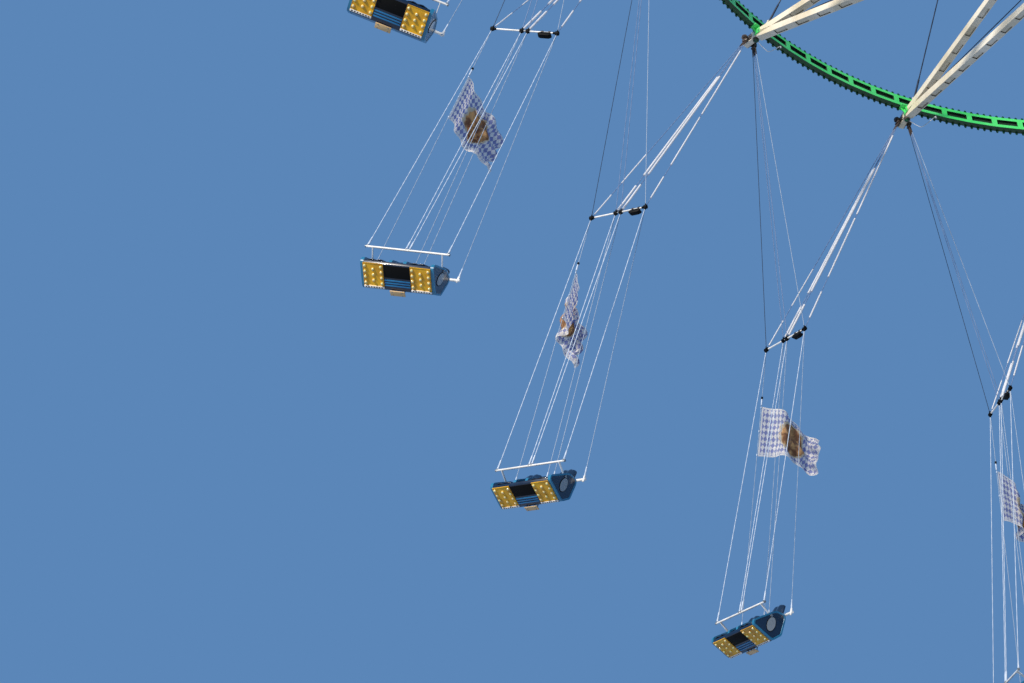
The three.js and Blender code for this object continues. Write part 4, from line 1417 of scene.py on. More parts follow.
def add_wall(bm, low):
    rounded = bmesh.ops.bevel(
        bm,
        geom=add_outline(bm, WALL_OUTLINE, low),
        offset=CORNER_ROUNDING,
        segments=4,
        profile=0.5,
        affect="VERTICES",
        material=-1,
    )
    verts = thicken(bm, rounded["verts"], WALL, SEAT_TEAL)
    fields = [face for face in faces_of(verts) if abs(face.normal.x) > 0.9]
    sink_faces(bm, fields, RIM_WIDTH, FIELD_BEVEL, FIELD_DEPTH)
    for face in fields:
        face.material_index = SEAT_NAVY


def add_badge(bm, side):
    """A plain oval plate in a dark moulded rim: two discs of radius 1, stretched"""
    middle = Matrix.Translation((side * (SEAT_HALF_WIDTH - 6), BADGE_Y, BADGE_Z))
    for half_y, half_z, thickness, finish in BADGE_DISCS:
        disc = add_stub(bm, Vector(), X * side * thickness, 1, finish, 32)
        move(bm, middle @ rotation(BADGE_TILT, "X") @ Matrix.Diagonal((1, half_y, half_z, 1)), disc)


# %% Tub and underside
RIB_PLACES = (66, 102, 138)
PLATE_MIDDLE = 18
PLATE_SIZE = (212, 80, 16)


def panel_frame(middle):
    """X across, Y from front to rear along the sloping panel, Z out of it, away from the bucket"""
    forward = Vector((0, math.cos(PANEL_SLOPE), math.sin(PANEL_SLOPE)))
    matrix = Matrix((X, -forward, X.cross(-forward))).transposed().to_4x4()
    matrix.translation = (middle, 0, 0)
    return matrix


def add_tub(bm):
    tub = add_slab(bm, TUB_OUTLINE, -SEAT_HALF_WIDTH + WALL, SEAT_HALF_WIDTH - WALL, SEAT_NAVY)
    round_edges(bm, tub, 9, 3, SEAT_NAVY)
    slope = panel_frame(0)
    for along in RIB_PLACES:
        rib = slope @ Matrix.Translation((0, along, 4))
        add_box(bm, rib, (370, 20, 16), SEAT_RIB, 4)
    # painted shade: a thin black sheet in front of the ribs, where the hollow between the buckets lies in
    # shadow
    painted_shade_sheet = slope @ Matrix.Translation((0, -60, 1))
    add_box(bm, painted_shade_sheet, (372, 176, 6), SEAT_DARK, 2)


def add_plate(bm):
    """The plywood plate at the rear of the tub, hung on four bolts"""
    place = Matrix.Translation((PLATE_MIDDLE, -236, -78)) @ rotation(math.radians(4), "X")
    add_box(bm, place, PLATE_SIZE, SEAT_PLY, 3)
    for x in (PLATE_MIDDLE - 70, PLATE_MIDDLE + 70):
        for y in (-262, -210):
            add_stub(bm, Vector((x, y, 0)), Z * -92, 8, SEAT_ZINC)


bm = bmesh.new()
add_tub(bm)
for side in (-1, 1):
    for way in (-1, 1):
        middle = side * (BUCKET_MIDDLE + way * (BUCKET_INNER_HALF + WALL / 2))
        add_wall(bm, middle - WALL / 2)
    add_badge(bm, side)
add_plate(bm)
move(bm, SEAT_FRAME)
dress_swings("seat_body", bm, SEAT_FINISHES, "double_seat", 30)

# %% [markdown]
# Each yellow panel is a shallow enamelled tray with a raised lip. Its lamps are opal domes in yellow
# bezels. They stand in three rows from front to rear, of four, three and four, so that the middle
# ones fall between the others. A white strip with dark slots closes the rear edge.

# %% Lamp panels
LAMP_ROWS = ((-116, 4), (0, 3), (116, 4))
LAMP_PITCH = 80
BEZEL_RADIUS = 27
DOME_RADIUS = 21
SLOT_PITCH = 38
SLOTS_ON_STRIP = 7
PANEL_YELLOW, PANEL_WHITE, PANEL_OPAL, PANEL_DARK = range(4)


def add_seat_lamp(bm, place):
    foot = place.translation
    out = place.to_3x3() @ Z
    add_stub(bm, foot, out * 7, BEZEL_RADIUS, PANEL_YELLOW, 12, BEZEL_RADIUS - 3)
    middle = Matrix.Translation(foot + out * 4)
    dome = bmesh.ops.create_uvsphere(bm, u_segments=10, v_segments=6, radius=DOME_RADIUS, matrix=middle)
    paint(dome["verts"], PANEL_OPAL)


def add_lamp_panel(bm, middle):
    slope = panel_frame(middle)
    middle = slope @ Matrix.Translation((0, 0, 2))
    tray = add_box(bm, middle, (PANEL_WIDTH, PANEL_LENGTH, 18), PANEL_YELLOW)
    out = slope.to_3x3() @ Z
    sink_faces(bm, [face for face in faces_of(tray) if face.normal.dot(out) > 0.9], 4, 3, 4)
    for x, count in LAMP_ROWS:
        for index in range(count):
            along = (index - (count - 1) / 2) * LAMP_PITCH
            add_seat_lamp(bm, slope @ Matrix.Translation((x, along, 6)))
    strip = slope @ Matrix.Translation((0, PANEL_LENGTH / 2 + 15, 6))
    add_box(bm, strip, (PANEL_WIDTH, 28, 20), PANEL_WHITE, 3)
    for index in range(SLOTS_ON_STRIP):
        across = (index - (SLOTS_ON_STRIP - 1) / 2) * SLOT_PITCH
        add_box(bm, strip @ Matrix.Translation((across, 0, 9)), (20, 14, 6), PANEL_DARK, 1)


bm = bmesh.new()
for side in (-1, 1):
    add_lamp_panel(bm, side * PANEL_MIDDLE)
move(bm, SEAT_FRAME)
dress_swings("lamp_panels", bm, [YELLOW_ENAMEL, TUBE_ENAMEL, OPAL_LAMP, RUBBER_AND_PAINTED_SHADE])

# %% [markdown]
# The lap bar is one white tube in front of both buckets, on arms that pivot at the walls. Behind the
# backs a cross tube carries white lugs, where the rear ropes end. The belts are flat webbing swept
# along a soft curve over the pan, with a buckle between their halves.

# %% Bars, lugs and belts
BAR_WHITE, BAR_ZINC, BAR_RED, BAR_BLACK = range(4)
BAR_HALF_LENGTH = 602
PIVOT_Y = -120
PIVOT_Z = 300
REAR_TUBE_Y = LUG_Y - 12
REAR_TUBE_Z = LUG_TOP - 34
REAR_TUBE_HALF = 645
CLAMP_REACH = 110
BELT_PATH = ((166, -200, 150), (132, -128, 128), (82, -78, 116), (30, -60, 116))
BELT_THICKNESS = 3
BELT_WIDTH = 46


def add_lap_bar(bm):
    middle = Vector((0, BAR_FORWARD, BAR_RISE))
    add_rod(bm, middle, X * BAR_HALF_LENGTH, 15, BAR_WHITE, 14)
    for side in (-1, 1):
        cap = Vector((side * (BAR_HALF_LENGTH - 6), BAR_FORWARD, BAR_RISE))
        add_stub(bm, cap, X * side * 14, 18, BAR_ZINC, 14)
        arm_x = side * (SEAT_HALF_WIDTH - WALL / 2)
        pivot = Vector((arm_x, PIVOT_Y, PIVOT_Z))
        add_bar(bm, pivot, Vector((arm_x, BAR_FORWARD, BAR_RISE)), 8, 34, BAR_WHITE, Z, 2)
        add_rod(bm, pivot, X * 28, 20, BAR_ZINC, 14)
    for x in BAR_X:
        eye = Matrix.Translation((x, BAR_FORWARD, BAR_RISE + 10)) @ rotation(math.pi / 2, "Y")
        add_washer(bm, eye, 14, 21, 16, BAR_ZINC, 14)


def add_rear_tube(bm):
    add_rod(bm, Vector((0, REAR_TUBE_Y, REAR_TUBE_Z)), X * REAR_TUBE_HALF, 20, BAR_WHITE, 14)
    for x in LUG_X:
        foot, top = (x - 15, REAR_TUBE_Y, LUG_TOP - 82), (x + 15, LUG_Y + 10, LUG_TOP + 28)
        add_block(bm, foot, top, BAR_WHITE, 5)
    for side in (-1, 1):
        for way in (-1, 1):
            x = side * (BUCKET_MIDDLE + way * CLAMP_REACH)
            add_rod(bm, Vector((x, REAR_TUBE_Y, REAR_TUBE_Z)), X * 14, 27, BAR_ZINC, 14)
            foot, top = (x - 12, LUG_Y, REAR_TUBE_Z - 22), (x + 12, LUG_Y + 62, REAR_TUBE_Z + 22)
            add_block(bm, foot, top, BAR_ZINC, 3)


def add_belt(bm, middle):
    for side in (-1, 1):
        points = [Vector((middle + side * x, y, z)) for x, y, z in BELT_PATH]
        add_sweep(bm, soft_path(points, 4), flat_section(BELT_THICKNESS, BELT_WIDTH), BAR_RED, Y)
    add_block(bm, (middle - 34, -86, 104), (middle + 34, -36, 126), BAR_BLACK, 6)
    add_block(bm, (middle - 14, -72, 124), (middle + 14, -50, 129), BAR_RED, 2)


bm = bmesh.new()
add_lap_bar(bm)
add_rear_tube(bm)
for side in (-1, 1):
    add_belt(bm, side * BUCKET_MIDDLE)
move(bm, SEAT_FRAME)
dress_swings("seat_bars", bm, [TUBE_ENAMEL, ZINC, RED_WEBBING, RUBBER_AND_PAINTED_SHADE])

# %% [markdown]
# A pennant is laced to the outer rear rope and streams behind the seat. Cloth bends but hardly
# stretches, so the flag is drawn by its headings: walking along the cloth, the way it points swings
# to and fro, and adding up small steps gives a wave that keeps the cloth's own length. It also
# drops a little on the way, and each flag has its own seeded phase. A few hang in a lull of the
# wind: they drop more, fold wider and gather at their free end.

# %% Sixteen pennants
FIRST_SEED = 40
FLAG_COLUMNS = 60
FLAG_ROWS = 26
FLAG_THICKNESS = 3
SLOW_SWING = 0.75
QUICK_SWING = 0.7
FALL_SWING = 0.14
CREASE_COUNT = 2.4
LULL_FLAGS = (2, 5, 7, 12)


def flag_places(number):
    """The place of every point of the cloth, by its column and row"""
    dice = random.Random(FIRST_SEED + number)
    turn = 2 * math.pi
    phases = [dice.uniform(0, turn) for _ in range(3)]
    long_wave, short_wave = dice.uniform(1.0, 1.5), dice.uniform(2.8, 3.6)
    droop, drift, tilt = dice.uniform(0.2, 0.35), dice.uniform(0.2, 0.45), dice.uniform(0.3, 0.9)
    fold, gather, crease = 1, 0.3, 50
    if number in LULL_FLAGS:
        droop, drift, fold, gather, crease = 0.62, -0.25, 1.5, 0.4, 62
    hoist_top, down, back = flag_rope()
    inward = down.cross(back).normalized()
    places = {}
    step = FLAG_WIDTH / FLAG_COLUMNS
    for row in range(FLAG_ROWS + 1):
        share = row / FLAG_ROWS
        point = hoist_top + down * FLAG_HEIGHT * (1 - share) + back * HOIST_GAP
        for column in range(FLAG_COLUMNS + 1):
            run = (column + 0.5) / FLAG_COLUMNS
            free = min(1, run * 3)
            slow = SLOW_SWING * math.sin(turn * long_wave * run + phases[0] + tilt * share)
            quick = QUICK_SWING * math.sin(turn * short_wave * run + phases[1] + 2 * tilt * share)
            swing = drift + free * fold * (slow + quick)
            fall = droop * free + FALL_SWING * math.sin(turn * run + phases[2])
            level = back * math.cos(swing) + inward * math.sin(swing)
            outward = inward * math.cos(swing) - back * math.sin(swing)
            bulge = crease * run * math.sin(turn * CREASE_COUNT * share + phases[0] + 4 * run)
            closing = FLAG_HEIGHT * gather * run * (share - 0.5)
            places[column, row] = point + outward * bulge + down * closing
            point = point + (level * math.cos(fall) + down * math.sin(fall)) * step
    return places


def flag_mesh(number):
    places = flag_places(number)
    cloth = bmesh.new()
    chart = cloth.loops.layers.uv.new("print")
    bmesh.ops.create_grid(cloth, x_segments=FLAG_COLUMNS, y_segments=FLAG_ROWS, size=1)
    for face in cloth.faces:
        for loop in face.loops:
            loop[chart].uv = ((loop.vert.co.x + 1) / 2, (loop.vert.co.y + 1) / 2)
    for vert in cloth.verts:
        column = round((vert.co.x + 1) / 2 * FLAG_COLUMNS)
        row = round((vert.co.y + 1) / 2 * FLAG_ROWS)
        vert.co = places[column, row]
    bmesh.ops.solidify(cloth, geom=cloth.faces[:], thickness=FLAG_THICKNESS)
    bmesh.ops.recalc_face_normals(cloth, faces=cloth.faces)
    return mesh_of(f"pennant_{number}", cloth, [FLAG_CLOTH], 60)


for number in range(1, SWING_COUNT + 1):
    mesh = flag_mesh(number)
    mesh.transform(swing_turn(number))
    flag = place_piece(f"pennant_{number}", mesh, f"swing_{number}")
print(SWING_COUNT, "pennants")

# %% [markdown]
# The tower is as much bolts and rods as it is lattice. The fittings stay clear of the outer faces of
# the legs, because the carriage's guide blocks run there. Each one is drawn on one side of the mast
# and spun to the other three. A bolt is a six-sided cone operator with a washer under it.

# %% Mast fittings
MAST_HALF_WIDTH = 1000
LEG_WIDTH = 200
LEG_INNER = MAST_HALF_WIDTH - LEG_WIDTH
MAST_FOOT = 560
BAY_HEIGHT = 3900
BAY_COUNT = 15
MAST_TOP = MAST_FOOT + BAY_HEIGHT * BAY_COUNT
LATTICE_OUTER = 940
LATTICE_INNER = 860
ROD_RADIUS = 17
CROSS_ROD_RADIUS = 15
TURNBUCKLE_RADIUS = 32
QUARTER = math.pi / 2
STEEL_ZINC, STEEL_GREY, STEEL_DARK, STEEL_WHITE, STEEL_RED, STEEL_CREAM = range(6)
STEEL_FINISHES = [ZINC, GREY_ENAMEL, RUBBER_AND_PAINTED_SHADE, TUBE_ENAMEL, RED_LAMP, CREAM_ENAMEL]


def add_bolt(bm, foot, outward, size):
    washer = add_stub(bm, foot, outward * size * 0.4, size * 1.35, STEEL_ZINC)
    return washer + add_stub(bm, foot, outward * size * 1.1, size, STEEL_ZINC, 6)


def add_node_plate(bm, side, height):
    """A gusset on the outer face of the lattice, where two bays meet at a leg"""
    centre = Vector((side * (LEG_INNER - 130), -LATTICE_OUTER - 5, height))
    made = add_box(bm, Matrix.Translation(centre), (240, 10, 400), STEEL_ZINC, 2)
    for across in (-80, 0, 80):
        for rise in (-150, 150):
            made += add_bolt(bm, centre + Vector((across, -5, rise)), -Y, 15)
    return made


def mast_fittings():
    bm = bmesh.new()
    for level in range(1, BAY_COUNT):
        for side in (-1, 1):
            add_node_plate(bm, side, MAST_FOOT + level * BAY_HEIGHT)
    for bay in range(BAY_COUNT):
        low = MAST_FOOT + bay * BAY_HEIGHT + 130
        lean = 1 if bay % 2 else -1
        start = Vector((lean * (LEG_INNER - 40), -LATTICE_INNER + 30, low))
        end = Vector((-lean * (LEG_INNER - 40), -LATTICE_INNER + 30, low + BAY_HEIGHT - 260))
        add_tube(bm, start, end, ROD_RADIUS, STEEL_ZINC)
        add_tube(bm, start.lerp(end, 0.46), start.lerp(end, 0.54), TURNBUCKLE_RADIUS, STEEL_ZINC)
    turn_copies(bm, bm.verts[:], 4, QUARTER)
    corner = LEG_INNER + 10
    for level in range(1, BAY_COUNT + 1):
        height = MAST_FOOT + level * BAY_HEIGHT - 30
        for side in (-1, 1):
            half = Vector((corner, corner * side, 0))
            add_rod(bm, Z * height, half, CROSS_ROD_RADIUS, STEEL_ZINC)
    return bm


# %% [markdown]
# A ladder climbs inside the front of the mast: two rails, a rung every 300 mm, and a bracket to the
# lattice at every bay. It is what tells the eye how tall the mast is.

# %% Ladder
LADDER_Y = -700
LADDER_HALF = 210
RUNG_PITCH = 300


def add_ladder(bm):
    foot, head = MAST_FOOT + 250, MAST_TOP - 150
    for side in (-1, 1):
        x = side * LADDER_HALF
        add_bar(bm, Vector((x, LADDER_Y, foot)), Vector((x, LADDER_Y, head)), 50, 16, STEEL_ZINC, X)
        for level in range(1, BAY_COUNT):
            height = MAST_FOOT + level * BAY_HEIGHT
            arm = Vector((x, LADDER_Y, height))
            add_bar(bm, arm, Vector((x, -LATTICE_INNER, height)), 40, 10, STEEL_ZINC, X)
    for index in range(int((head - foot) / RUNG_PITCH)):
        rung = Vector((0, LADDER_Y, foot + (index + 0.5) * RUNG_PITCH))
        add_rod(bm, rung, X * LADDER_HALF, 14, STEEL_ZINC, 6)


# %% Mast head
PLATE_TOP = MAST_TOP + 161
SHEAVE_REACH = 500
SHEAVE_HEIGHT = MAST_TOP + 590
RAIL_REACH = 1010
RAIL_RISE = 640
PLATE_BOLTS = (-850, -500, -150, 200, 550, 900)
BEACON_FOOT = MAST_TOP + 640
BEACON_HEIGHT = 180
BEACON_CAP = 80
BEACON_RADIUS = 74


def add_sheave(bm, x, side):
    place = Matrix.Translation((x, side * 118, SHEAVE_HEIGHT)) @ rotation(QUARTER, "X")
    add_washer(bm, place, 90, 300, 44, STEEL_DARK, 32)
    add_washer(bm, place, 250, 330, 60, STEEL_ZINC, 32)
    add_stub(bm, Vector((x, side * 90, SHEAVE_HEIGHT)), Y * side * 70, 90, STEEL_ZINC, 20)


def add_head_fittings(bm):
    """Rope sheaves on the cheeks, a hand rail, bolts round the plate and a red beacon"""
    for x in (-SHEAVE_REACH, SHEAVE_REACH):
        for side in (-1, 1):
            add_sheave(bm, x, side)
    rail = []
    for x in (-RAIL_REACH, 0, RAIL_REACH):
        rail += add_stub(bm, Vector((x, -RAIL_REACH, PLATE_TOP)), Z * RAIL_RISE, 20, STEEL_WHITE)
    for rise in (RAIL_RISE / 2, RAIL_RISE):
        middle = Vector((0, -RAIL_REACH, PLATE_TOP + rise))
        rail += add_rod(bm, middle, X * RAIL_REACH, 18, STEEL_WHITE)
    for x in PLATE_BOLTS:
        rail += add_bolt(bm, Vector((x, -900, PLATE_TOP)), Z, 26)
    turn_copies(bm, rail, 4, QUARTER)
    add_stub(bm, Z * BEACON_FOOT, Z * BEACON_HEIGHT, BEACON_RADIUS, STEEL_RED, 16)
    cap = Z * (BEACON_FOOT + BEACON_HEIGHT)
    add_stub(bm, cap, Z * BEACON_CAP, BEACON_RADIUS, STEEL_RED, 16, 62)


bm = mast_fittings()
add_ladder(bm)
add_head_fittings(bm)
finish_piece("mast_fittings", bm, STEEL_FINISHES, "tower")

# %% [markdown]
# The base is what holds a sixty metre mast on the ground: crossed girders with stiffening ribs, foot
# pads with levelling jacks, and cheek plates with a pin where each brace lands. The winch stands
# beside it in a plain cabinet with louvres, a door and cable glands.

# %% Base fittings
GIRDER_REACH = 6800
GIRDER_HALF = 250
GIRDER_BOTTOM = 60
GIRDER_TOP = 559
PAD_MIDDLE = 6250
BRACE_FOOT = 5600
CHEEK_Y = 136
CHEEK_HALF = 12
BRACE_PIN = 52
BRACE_PIN_HALF = 190
RIBS = range(1700, 5300, 600)
RIB_HALF = 9
LIP = 24
JACK_Y = 150
JACK_PARTS = ((0, 260, 46, 16), (0, 70, 88, 6), (200, 240, 80, 6))


def add_jack(bm, foot):
    """A levelling screw with two nuts, each from one height to another"""
    for low, high, radius, sides in JACK_PARTS:
        add_tube(bm, foot + Z * low, foot + Z * high, radius, STEEL_ZINC, sides)


def add_brace_seat(bm):
    """Two cheek plates and a pin, where a brace lands"""
    pin = Vector((BRACE_FOOT - 110, 0, GIRDER_TOP + 250))
    add_rod(bm, pin, Y * BRACE_PIN_HALF, BRACE_PIN, STEEL_ZINC, 20)
    for side in (-1, 1):
        low = (BRACE_FOOT - 220, side * CHEEK_Y - CHEEK_HALF, GIRDER_TOP - 4)
        high = (BRACE_FOOT + 60, side * CHEEK_Y + CHEEK_HALF, GIRDER_TOP + 420)
        add_block(bm, low, high, STEEL_GREY, 6)
        add_tube(bm, pin + Y * side * 150, pin + Y * side * 172, BRACE_PIN + 32, STEEL_ZINC, 20)


def add_girder_fittings(bm):
    """Everything on one girder, drawn along X"""
    for x in RIBS:
        for side in (-1, 1):
            low = (x - RIB_HALF, side * GIRDER_HALF, GIRDER_BOTTOM + LIP)
            high = (x + RIB_HALF, side * (GIRDER_HALF + 26), GIRDER_TOP - LIP)
            add_block(bm, low, high, STEEL_GREY)
    for height in (GIRDER_BOTTOM, GIRDER_TOP - LIP):
        for side in (-1, 1):
            low = (1400, side * GIRDER_HALF, height)
            high = (GIRDER_REACH - 20, side * (GIRDER_HALF + 30), height + LIP)
            add_block(bm, low, high, STEEL_GREY, 3)
    for side in (-1, 1):
        add_jack(bm, Vector((PAD_MIDDLE, side * JACK_Y, GIRDER_TOP)))
        for along in (-450, 450):
            for across in (330, 480):
                corner = Vector((PAD_MIDDLE + along, side * across, GIRDER_BOTTOM + 20))
                add_bolt(bm, corner, Z, 34)
    add_brace_seat(bm)


def add_mast_foot_bolts(bm):
    made = []
    for index in range(-4, 5):
        if abs(index) > 1:
            made += add_bolt(bm, Vector((index * 270, -1130, GIRDER_TOP)), Z, 36)
    turn_copies(bm, made, 4, QUARTER)


# %% Winch cabinet
WINCH_START = 1251
WINCH_END = 2950
WINCH_HALF = 700
WINCH_TOP = 1350
LOUVRE_COLUMNS = (1640, 2560)
LOUVRE_COUNT = 9
LOUVRE_PITCH = 82
LOUVRE_TILT = math.radians(35)
EDGE = 22
EDGE_HEIGHT = 60
DOOR_HALF = 420
HINGES = (280, 660, 1040)
GLAND_Y = 520
GLANDS = (160, 270, 380)


def add_louvres(bm, face, side):
    for column in LOUVRE_COLUMNS:
        low, high = (column - 270, face, 300), (column + 270, face + side * 16, 1120)
        add_block(bm, low, high, STEEL_GREY, 4)
        for index in range(LOUVRE_COUNT):
            centre = Vector((column, face + side * 26, 380 + index * LOUVRE_PITCH))
            tilted = Matrix.Translation(centre) @ rotation(-side * LOUVRE_TILT, "X")
            add_box(bm, tilted, (480, 46, 8), STEEL_ZINC)


def add_edge_strips(bm, height):
    """A dark strip round three sides of the cabinet"""
    for side in (-1, 1):
        low = (WINCH_START, side * WINCH_HALF, height)
        high = (WINCH_END + EDGE, side * (WINCH_HALF + EDGE), height + EDGE_HEIGHT)
        add_block(bm, low, high, STEEL_DARK, 3)
    low = (WINCH_END, -WINCH_HALF, height)
    high = (WINCH_END + EDGE, WINCH_HALF, height + EDGE_HEIGHT)
    add_block(bm, low, high, STEEL_DARK, 3)


def add_cabinet_end(bm):
    """A door with its handle and hinges, and cable glands on both sides of it"""
    add_block(bm, (WINCH_END, -DOOR_HALF, 130), (WINCH_END + 18, DOOR_HALF, 1210), STEEL_GREY, 5)
    add_block(bm, (WINCH_END + 18, 300, 600), (WINCH_END + 60, 340, 780), STEEL_DARK, 8)
    for height in HINGES:
        add_rod(bm, Vector((WINCH_END + 24, -DOOR_HALF - 10, height)), Z * 50, 16, STEEL_ZINC, 12)
    for y in (-GLAND_Y, GLAND_Y):
        for height in GLANDS:
            add_stub(bm, Vector((WINCH_END, y, height)), X * 50, 34, STEEL_DARK, 12)


def add_winch_fittings(bm):
    """Louvres on both long sides, the door's end, dark edge strips, and lifting eyes on the roof"""
    for side in (-1, 1):
        add_louvres(bm, side * WINCH_HALF, side)
    for height in (0, WINCH_TOP - EDGE_HEIGHT):
        add_edge_strips(bm, height)
    add_cabinet_end(bm)
    for x in (WINCH_START + 80, WINCH_END - 80):
        for side in (-1, 1):
            eye = Matrix.Translation((x, side * (WINCH_HALF - 80), WINCH_TOP + 34))
            add_washer(bm, eye @ rotation(QUARTER, "X"), 22, 42, 20, STEEL_ZINC)
    for index in range(-3, 4):
        bar = Vector((0, index * 170, WINCH_TOP + 4))
        add_bar(bm, bar + X * (WINCH_START + 160), bar + X * (WINCH_END - 160), 90, 8, STEEL_GREY, Z)


bm = bmesh.new()
add_girder_fittings(bm)
move(bm, rotation(QUARTER / 2))
turn_copies(bm, bm.verts[:], 4, QUARTER)
add_mast_foot_bolts(bm)
add_winch_fittings(bm)
finish_piece("base_fittings", bm, STEEL_FINISHES, "tower")

# %% [markdown]
# The carriage climbs the mast on rollers, above and below each guide block. Its frame is braced with
# crossed rods, its bearing flange stands on sixteen ribs, and two finned motors under the flange
# turn the star.

# %% Carriage fittings
SLEEVE_HALF = 1220
SLEEVE_POST = 120
SLEEVE_BOTTOM = TIP_HEIGHT - 3700
SLEEVE_TOP = TIP_HEIGHT + 5900
FLANGE_BOTTOM = TIP_HEIGHT - 3400
FLANGE_TOP = FLANGE_BOTTOM + 140
STOREYS = 3
FLANGE_RADIUS = 2250
FLANGE_BOLTS = 48
RIB_PROFILE = ((1490, 0), (2190, 0), (2190, -50), (1490, -290))
MOTOR_RADIUS = 190
MOTOR_HEIGHT = 900
MOTOR_DISTANCE = 1850
MOTOR_BOLTS = 8
FIN_COUNT = 11
FIN_PITCH = 48
ROLLER_RADIUS = 70


def add_rollers(bm):
    """Rollers on one side of the sleeve, over and under both guide blocks at both ends"""
    for level in (SLEEVE_BOTTOM + SLEEVE_POST / 2, SLEEVE_TOP - SLEEVE_POST / 2):
        for x in (-900, 900):
            for way in (-1, 1):
                axle = Vector((x, -MAST_HALF_WIDTH - 14 - ROLLER_RADIUS, level + way * 225))
                add_rod(bm, axle, X * 46, ROLLER_RADIUS, STEEL_DARK, 20)
                add_rod(bm, axle, X * 66, 24, STEEL_ZINC, 12)
                for side in (-1, 1):
                    cheek = axle + X * side * 56
                    back = Vector((cheek.x, -SLEEVE_HALF + 50, level + way * 60))
                    add_bar(bm, cheek - Z * way * 10, back, 14, 70, STEEL_GREY, Y, 3)


def add_sleeve_bracing(bm):
    inner = SLEEVE_HALF - SLEEVE_POST - 10
    y = -SLEEVE_HALF + SLEEVE_POST / 2
    span = (SLEEVE_TOP - SLEEVE_BOTTOM - SLEEVE_POST) / STOREYS
    for storey in range(STOREYS):
        low = SLEEVE_BOTTOM + storey * span + SLEEVE_POST
        high = SLEEVE_BOTTOM + (storey + 1) * span
        if storey == 0:
            low = FLANGE_TOP
        for side in (-1, 1):
            start, end = Vector((-side * inner, y, low)), Vector((side * inner, y, high))
            add_tube(bm, start, end, 20, STEEL_ZINC)
            add_tube(bm, start.lerp(end, 0.44), start.lerp(end, 0.48), 36, STEEL_ZINC)
        for x in (-inner + 40, inner - 40):
            for height in (low + 60, high - 60):
                gusset = Matrix.Translation((x, y, height))
                add_box(bm, gusset, (120, 16, 140), STEEL_GREY, 2)


def add_bolt_circle(bm, bolt):
    turn_copies(bm, bolt, FLANGE_BOLTS, 2 * math.pi / FLANGE_BOLTS)


def add_flange_fittings(bm):
    add_bolt_circle(bm, add_bolt(bm, Vector((FLANGE_RADIUS - 90, 0, FLANGE_TOP)), Z, 26))
    rib = [(reach, FLANGE_BOTTOM + drop) for reach, drop in RIB_PROFILE]
    made = add_slab(bm, rib, -RIB_HALF, RIB_HALF, STEEL_GREY)
    move(bm, rotation(-QUARTER + STEP / 2), made)
    turn_copies(bm, made, SWING_COUNT, STEP)


def add_motor_fittings(bm):
    for side in (-1, 1):
        top = Vector((side * MOTOR_DISTANCE, 0, FLANGE_BOTTOM - 1))
        add_tube(bm, top - Z * 150, top, MOTOR_RADIUS + 45, STEEL_GREY, 24)
        for index in range(FIN_COUNT):
            fin = Matrix.Translation(top - Z * (240 + index * FIN_PITCH))
            add_washer(bm, fin, MOTOR_RADIUS - 4, MOTOR_RADIUS + 22, 14, STEEL_GREY, 24)
        foot = top - Z * MOTOR_HEIGHT
        add_stub(bm, foot, Z * 110, MOTOR_RADIUS + 16, STEEL_DARK, 24)
        box = foot + Vector((side * (MOTOR_RADIUS + 50), 0, 420))
        add_box(bm, Matrix.Translation(box), (120, 190, 220), STEEL_GREY, 8)
        add_tube(bm, box - Z * 170, box - Z * 100, 28, STEEL_DARK, 12)
        for index in range(MOTOR_BOLTS):
            place = polar(MOTOR_RADIUS + 28, index * 2 * math.pi / MOTOR_BOLTS, 0)
            add_bolt(bm, top + place - Z * 150, -Z, 12)


bm = bmesh.new()
add_rollers(bm)
add_sleeve_bracing(bm)
turn_copies(bm, bm.verts[:], 4, QUARTER)
add_flange_fittings(bm)
add_motor_fittings(bm)
finish_piece("carriage_fittings", bm, STEEL_FINISHES, "carriage")

# %% [markdown]
# The turning cage is stiffened by crossed rods between its eight posts, with a light ring half way
# up. They lie just inside the posts, so they clear the sleeve's corners while the cage turns.

# %% Cage fittings
CROWN_BOTTOM = STAY_HEAD_HEIGHT - 150
CAGE_MIDDLE = TIP_HEIGHT + 2200
POST_COUNT = 8
POST_STEP = 2 * math.pi / POST_COUNT
POST_BOLT_TURN = 0.06


def cage_fittings():
    bm = bmesh.new()
    lift = CHORD_ROOT_HEIGHT + 100
    for low, high in ((lift, CAGE_MIDDLE - 30), (CAGE_MIDDLE + 30, CROWN_BOTTOM)):
        for start, end in ((low, high), (high, low)):
            foot, head = polar(CAGE_RADIUS, 0, start), polar(CAGE_RADIUS, POST_STEP, end)
            add_tube(bm, foot, head, CROSS_ROD_RADIUS, STEEL_CREAM)
            add_tube(bm, foot.lerp(head, 0.3), foot.lerp(head, 0.36), 28, STEEL_ZINC)
    start, end = polar(CAGE_RADIUS, 0, CAGE_MIDDLE), polar(CAGE_RADIUS, POST_STEP, CAGE_MIDDLE)
    add_bar(bm, start, end, 60, 60, STEEL_CREAM, Z, 4)
    for height in (CHORD_ROOT_HEIGHT, STRUT_ROOT_HEIGHT, CROWN_BOTTOM + 150):
        for turn in (POST_BOLT_TURN, POST_STEP - POST_BOLT_TURN):
            place = polar(CAGE_RADIUS - CAGE_BAR / 2 + 1, turn, height)
            add_bolt(bm, place, -polar(1, turn, 0), 20)
    turn_copies(bm, bm.verts[:], POST_COUNT, POST_STEP)
    add_bolt_circle(bm, add_bolt(bm, polar(CAGE_RADIUS + CAGE_BAR / 2 - 6, 0, FLANGE_TOP + 130), X, 22))
    move(bm, rotation(FIRST_SWING))
    return bm


finish_piece("cage_fittings", cage_fittings(), STEEL_FINISHES, "rotor")

# %% [markdown]
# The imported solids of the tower, carriage and cage are right in shape, so they only get their
# finishes: zinc on the lattice, grey enamel on the machinery, cream on the turning cage.

